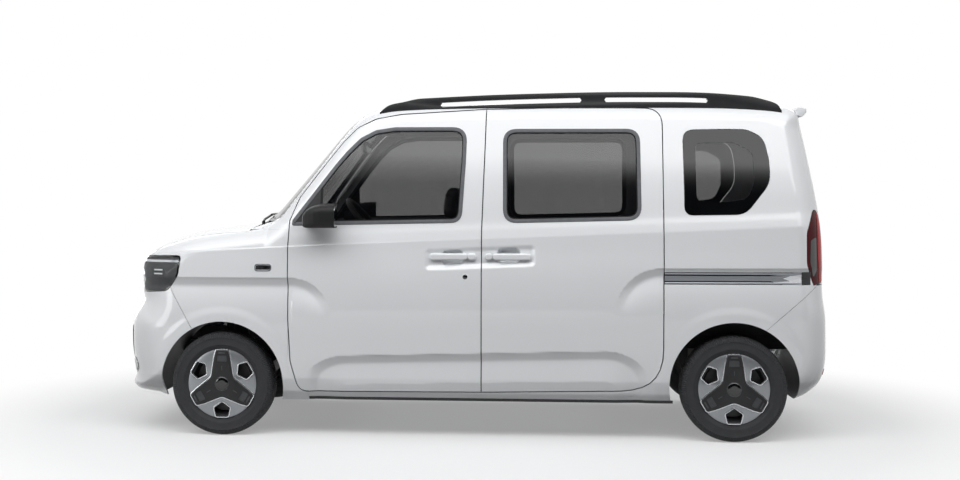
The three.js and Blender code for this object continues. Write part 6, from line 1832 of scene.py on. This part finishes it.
class VAN_OT_cabin(bpy.types.Operator):
    """Dashboard, steering wheel, inner mirror and floor covering"""

    bl_idname = "van.cabin"
    bl_label = "Cabin"

    def execute(self, context):
        skin = finish(soft_dashboard)
        form = rounded([(1.0850, 1.015, 0), (1.000, 1.040, 0.03), (0.900, 1.055, 0.06), (0.770, 1.030, 0.04),
                        (0.700, 0.970, 0.03), (0.712, 0.880, 0.04), (0.820, 0.760, 0.03), (1.0975, 0.700, 0)], 5)
        form = soften(prism("dashboard_form", form, "Y", -0.598, 0.598), 0.008, 3)
        dress(form, "root", skin, ["dashboard"])
        hood = tapered("instrument_hood", plate_outline(SEAT_Y - 0.150, SEAT_Y + 0.150, 1.005, 1.082, 0.035), "X",
                       ((0.900, 0.80, (0, -0.02)), (0.820, 0.97, (0, -0.004)), (0.735, 1.0, (0, 0)),
                        (0.728, 0.97, (0, 0))))
        dress(soften(hood, 0.004), "root", skin)
        dial = tapered("instrument_display", plate_outline(SEAT_Y - 0.130, SEAT_Y + 0.130, 1.016, 1.070, 0.020), "X",
                       ((0.730, 1, (0, 0)), (0.7265, 1, (0, 0))))
        dress(shade(dial), "root", finish(screen_face))
        screen = block("centre_display", (0.706, -0.120, 0.955), (0.720, 0.120, 1.095))
        dress(soften(screen, 0.006, 3), "root", finish(gloss_black))
        glass = block("centre_display_glass", (0.7045, -0.112, 0.963), (0.708, 0.112, 1.087))
        dress(soften(glass, 0.001), "root", finish(screen_face))
        for number, (y0, y1) in enumerate(((0.500, 0.585), (0.150, 0.200), (-0.200, -0.150), (-0.585, -0.500))):
            vanes = [block("v", (0.695, y0, z), (0.715, y1, z + 0.004)) for z in (0.930, 0.941, 0.952, 0.963)]
            frame = united("f", block("a", (0.698, y0 - 0.006, 0.920), (0.716, y0, 0.974)),
                           block("b", (0.698, y1, 0.920), (0.716, y1 + 0.006, 0.974)))
            dress(soften(united(f"air_vent_{number + 1}", frame, *vanes), 0.001), "root", finish(gloss_black))
        s = STEERING
        sine, cosine = math.sin(s["tilt"]), math.cos(s["tilt"])
        # The wheel's own x points to the car's right, its y up across its face and its z at the driver.
        turn = Matrix(((0, sine, -cosine, 0), (-1, 0, 0, 0), (0, cosine, sine, 0), (0, 0, 0, 1)))
        place = Matrix.Translation((s["x"], s["y"], s["z"])) @ turn
        bm = bmesh.new()
        bmesh.ops.create_circle(bm, segments=20, radius=0.0145)
        bmesh.ops.rotate(bm, verts=bm.verts, cent=(0, 0, 0), matrix=Matrix.Rotation(math.pi / 2, 3, "X"))
        bmesh.ops.translate(bm, verts=bm.verts, vec=(s["radius"], 0, 0))
        bmesh.ops.spin(bm, geom=bm.verts[:] + bm.edges[:], cent=(0, 0, 0), axis=(0, 0, 1), angle=2 * math.pi, steps=72,
                       use_merge=True, use_duplicate=False)
        bmesh.ops.recalc_face_normals(bm, faces=bm.faces)
        rim = shade(to_object("rim", bm))
        hub = tapered("hub", rounded([(-0.062, -0.055, 0.04), (0.062, -0.055, 0.04), (0.070, 0.045, 0.04),
                                      (-0.070, 0.045, 0.04)]), "Z",
                      ((-0.045, 0.75, (0, 0)), (-0.020, 1.0, (0, 0)), (0.000, 0.96, (0, 0)), (0.004, 0.85, (0, 0))))
        r = s["radius"]
        spokes = [prism("spoke", outline, "Z", -0.020, -0.006) for outline in (
            [(0.040, -0.020), (r, -0.014), (r, 0.014), (0.040, 0.022)],
            [(-0.040, 0.022), (-r, 0.014), (-r, -0.014), (-0.040, -0.020)],
            [(-0.020, -0.040), (-0.015, -r), (0.015, -r), (0.020, -0.040)])]
        wheel = united("steering_wheel_rim", rim, soften(hub, 0.004), *[soften(p, 0.003) for p in spokes])
        wheel.data.transform(place)
        dress(shade(wheel, 50), "steering_wheel", finish(seat_vinyl), ["steering_wheel"])
        down = Vector((cosine, 0, -sine))
        away = [Vector((s["x"], s["y"], s["z"])) + d * down for d in (0.055, 0.330)]
        dress(rod("steering_column_shroud", away, 0.030, 32), "root", finish(trim_moulding))

        glass = tapered("inner_mirror", plate_outline(-0.115, 0.115, 1.470, 1.535, 0.028), "X",
                        ((0.600, 0.97, (0, 0)), (0.604, 1, (0, 0)), (0.618, 0.98, (0, 0)), (0.630, 0.70, (0, 0))))
        dress(shade(glass, 50), "root", finish(moulded_black))
        face = tapered("inner_mirror_face", plate_outline(-0.110, 0.110, 1.475, 1.530, 0.024), "X",
                       ((0.5985, 1, (0, 0)), (0.601, 1, (0, 0))))
        dress(shade(face), "root", finish(mirror_glass))
        stem = rod("inner_mirror_stem", [(0.625, 0, 1.505), (0.655, 0, 1.545), (0.662, 0, 1.600)], 0.007)
        dress(stem, "root", finish(moulded_black))
        visors = [soften(block("visor", (0.440, y - 0.150, 1.588), (0.575, y + 0.150, 1.600)), 0.005, 3)
                  for y in (0.300, -0.300)]
        dress(united("sun_visors", *visors), "root", finish(headliner))
        mat = block("floor_covering", (-0.740, -0.590, 0.3362), (0.900, 0.590, 0.3440))
        holes = [block("h", (0.225, y0, 0.3), (0.625, y1, 0.4)) for y0, y1 in ((SEAT_Y - 0.195, SEAT_Y + 0.195),
                                                                              (-SEAT_Y - 0.195, -SEAT_Y + 0.195))]
        holes.append(block("h", (-0.650, -0.526, 0.3), (-0.272, 0.526, 0.4)))
        dress(soften(combine(mat, *[("DIFFERENCE", h) for h in holes]), 0.002), "root", finish(carpet))
        return {"FINISHED"}


class VAN_OT_underbody(bpy.types.Operator):
    """Finishes of the floor, battery, axles and steering"""

    bl_idname = "van.underbody"
    bl_label = "Underbody"

    def execute(self, context):
        coats = {underbody_coat: ("floor_pan", "back_panel"), battery_case: ("battery_pack",),
                 cast_iron: ("knuckle_left", "knuckle_right", "rear_axle"), dipped_steel: ("front_subframe",)}
        for maker, nodes in coats.items():
            for node in nodes:
                piece = frame["nodes"][node]
                if isinstance(piece, str):
                    piece = bpy.data.objects[piece]
                piece.data.materials.clear()
                piece.data.materials.append(finish(maker))
        return {"FINISHED"}


class VAN_OT_stage(bpy.types.Operator):
    """Camera, soft lamps and a pale floor"""

    bl_idname = "van.stage"
    bl_label = "Studio"

    CAMERA = Vector((-0.4135, 7.725, 1.238))
    YAW = math.radians(4.9)
    SHIFT = (0.051, -0.0469)
    # Name, place, aim, size and power of each soft lamp, and the share of its height over which it fades in.
    LAMPS = (
        ("softbox_left", (-0.3, 4.09, 3.89), (-0.3, 0.70, 1.41), (11.0, 2.73), 284, 0.25),
        ("overhead_left", (-0.3, 2.74, 5.31), (-0.3, 0.70, 1.30), (11.0, 2.83), 115, 0),
        ("softbox_right", (-0.3, -4.09, 3.89), (-0.3, -0.70, 1.41), (11.0, 2.73), 150, 0.25),
        ("front_fill", (4.2, 3.6, 1.3), (1.6, 0.5, 0.6), (1.6, 1.6), 30, 0),
        ("front_fill_right", (4.2, -3.6, 1.3), (1.6, -0.5, 0.6), (1.6, 1.6), 22, 0),
    )

    def execute(self, context):
        settings = context.scene.micro_van
        data = bpy.data.cameras.new("camera")
        data.lens, data.sensor_width = settings.focal_length, 36
        data.shift_x, data.shift_y = self.SHIFT
        camera = bpy.data.objects.new("camera", data)
        context.scene.collection.objects.link(camera)
        camera.location = self.CAMERA
        camera.rotation_euler = (math.pi / 2, 0, math.pi + self.YAW)
        context.scene.camera = camera
        bm = bmesh.new()
        bmesh.ops.create_circle(bm, cap_ends=True, segments=96, radius=settings.floor_size)
        floor = to_object("studio_floor", bm)
        floor.data.materials.append(self.floor_finish())
        card = prism("studio_flag", [(-12, -0.2), (12, -0.2), (12, 7.4), (-12, 7.4)], "Y", 8.60, 8.62)
        card.data.materials.append(self.flag_cloth())
        card.visible_camera = False
        for lamp in self.LAMPS:
            self.add_lamp(context, *lamp)
        context.scene.world = self.sky()
        context.scene.view_settings.view_transform = "Standard"
        return {"FINISHED"}

    def floor_finish(self):
        # Seamless paper sweep: matt white under the car, which runs out to plain white further off. It sends little of
        # its own light back up, as a floor of dark cloth with the car cut out of it would.
        material, tree, shader = new_finish("seamless_white_paper", Roughness=0.9)
        dim, pale = linear("3F3F40"), linear("F7F8F9")
        away = add_node(tree, "ShaderNodeVectorMath", {"operation": "LENGTH"}, Vector=object_place(tree))
        far = add_node(tree, "ShaderNodeMapRange", {"interpolation_type": "SMOOTHSTEP"}, Value=away.outputs[1],
                       From_Min=1.6, From_Max=3.4)
        seen = self.seen(tree)
        colour = add_node(tree, "ShaderNodeMix", {"data_type": "RGBA"}, Factor=seen, _6=dim, _7=pale)
        tree.links.new(colour.outputs[2], shader.inputs["Base Color"])
        share = add_node(tree, "ShaderNodeMath", {"operation": "MAXIMUM"}, _0=far.outputs[0], _1=0.30)
        both = add_node(tree, "ShaderNodeMath", {"operation": "MULTIPLY"}, _0=share.outputs[0], _1=seen)
        white = add_node(tree, "ShaderNodeEmission", None, Color=linear("FFFFFF"), Strength=1.0)
        mix = add_node(tree, "ShaderNodeMixShader", None, _0=both.outputs[0], _1=shader.outputs[0], _2=white.outputs[0])
        output = next(n for n in tree.nodes if n.type == "OUTPUT_MATERIAL")
        tree.links.new(mix.outputs[0], output.inputs["Surface"])
        return material

    def flag_cloth(self):
        # Black velvet flag beside the car: gives the lower glass and panels something dark to reflect.
        return coloured("black_velvet_flag", "050505", "080808", 0.3, None, Roughness=1.0, Specular_IOR_Level=0.1)

    def seen(self, tree):
        """1 where the backdrop is looked at, straight or by reflection or through glass."""
        path = add_node(tree, "ShaderNodeLightPath").outputs
        first = add_node(tree, "ShaderNodeMath", {"operation": "MAXIMUM"}, _0=path["Is Camera Ray"],
                         _1=path["Is Glossy Ray"])
        return add_node(tree, "ShaderNodeMath", {"operation": "MAXIMUM"}, _0=first.outputs[0],
                        _1=path["Is Transmission Ray"]).outputs[0]

    def sky(self):
        world = bpy.data.worlds.new("studio")
        world.use_nodes = True
        tree = world.node_tree
        tree.nodes.clear()
        strength = add_node(tree, "ShaderNodeMapRange", None, Value=self.seen(tree), To_Min=0.08, To_Max=1.0)
        background = add_node(tree, "ShaderNodeBackground", None, Color=linear("FFFFFF"), Strength=strength.outputs[0])
        add_node(tree, "ShaderNodeOutputWorld", None, Surface=background.outputs[0])
        return world

    FADE_CURVE = 2.5  # power of the rise from a lamp's dark edge, so that its reflection has no hard end

    def add_lamp(self, context, name, place, aim, size, power, fade):
        data = bpy.data.lights.new(name, "AREA")
        data.shape, data.size, data.size_y, data.energy = "RECTANGLE", size[0], size[1], power
        if fade:
            data.use_nodes = True
            tree = data.node_tree
            tree.nodes.clear()
            across = add_node(tree, "ShaderNodeNewGeometry").outputs["Parametric"]
            up = add_node(tree, "ShaderNodeSeparateXYZ", None, Vector=across).outputs["Y"]
            rise = add_node(tree, "ShaderNodeMapRange", None, Value=up, From_Max=fade)
            curve = add_node(tree, "ShaderNodeMath", {"operation": "POWER"}, _0=rise.outputs[0],
                             _1=self.FADE_CURVE)
            glow = add_node(tree, "ShaderNodeEmission", None, Strength=curve.outputs[0])
            add_node(tree, "ShaderNodeOutputLight", None, Surface=glow.outputs[0])
        lamp = bpy.data.objects.new(name, data)
        context.scene.collection.objects.link(lamp)
        lamp.location = place
        lamp.rotation_euler = (Vector(aim) - Vector(place)).to_track_quat("-Z", "Y").to_euler()
        lamp.visible_camera = False


class VAN_PT_panel(bpy.types.Panel):
    bl_label = "Micro van"
    bl_space_type = "VIEW_3D"
    bl_region_type = "UI"
    bl_category = "Micro van"

    def draw(self, context):
        for setting in ("paint_colour", "floor_size", "focal_length"):
            self.layout.prop(context.scene.micro_van, setting)
        for operator in OPERATORS:
            self.layout.operator(operator.bl_idname)


OPERATORS = (VAN_OT_body_sides, VAN_OT_doors, VAN_OT_glazing, VAN_OT_front_panels, VAN_OT_roof, VAN_OT_rear_panels,
             VAN_OT_lamps, VAN_OT_trim, VAN_OT_wheels, VAN_OT_seats, VAN_OT_cabin, VAN_OT_underbody, VAN_OT_stage)


def register():
    for cls in (MicroVanSettings, *OPERATORS, VAN_PT_panel):
        bpy.utils.register_class(cls)
    bpy.types.Scene.micro_van = PointerProperty(type=MicroVanSettings)


def unregister():
    del bpy.types.Scene.micro_van
    for cls in (VAN_PT_panel, *reversed(OPERATORS), MicroVanSettings):
        bpy.utils.unregister_class(cls)


def main():
    register()
    for operator in OPERATORS:
        group, action = operator.bl_idname.split(".")
        getattr(getattr(bpy.ops, group), action)()


if __name__ == "__main__":
    main()
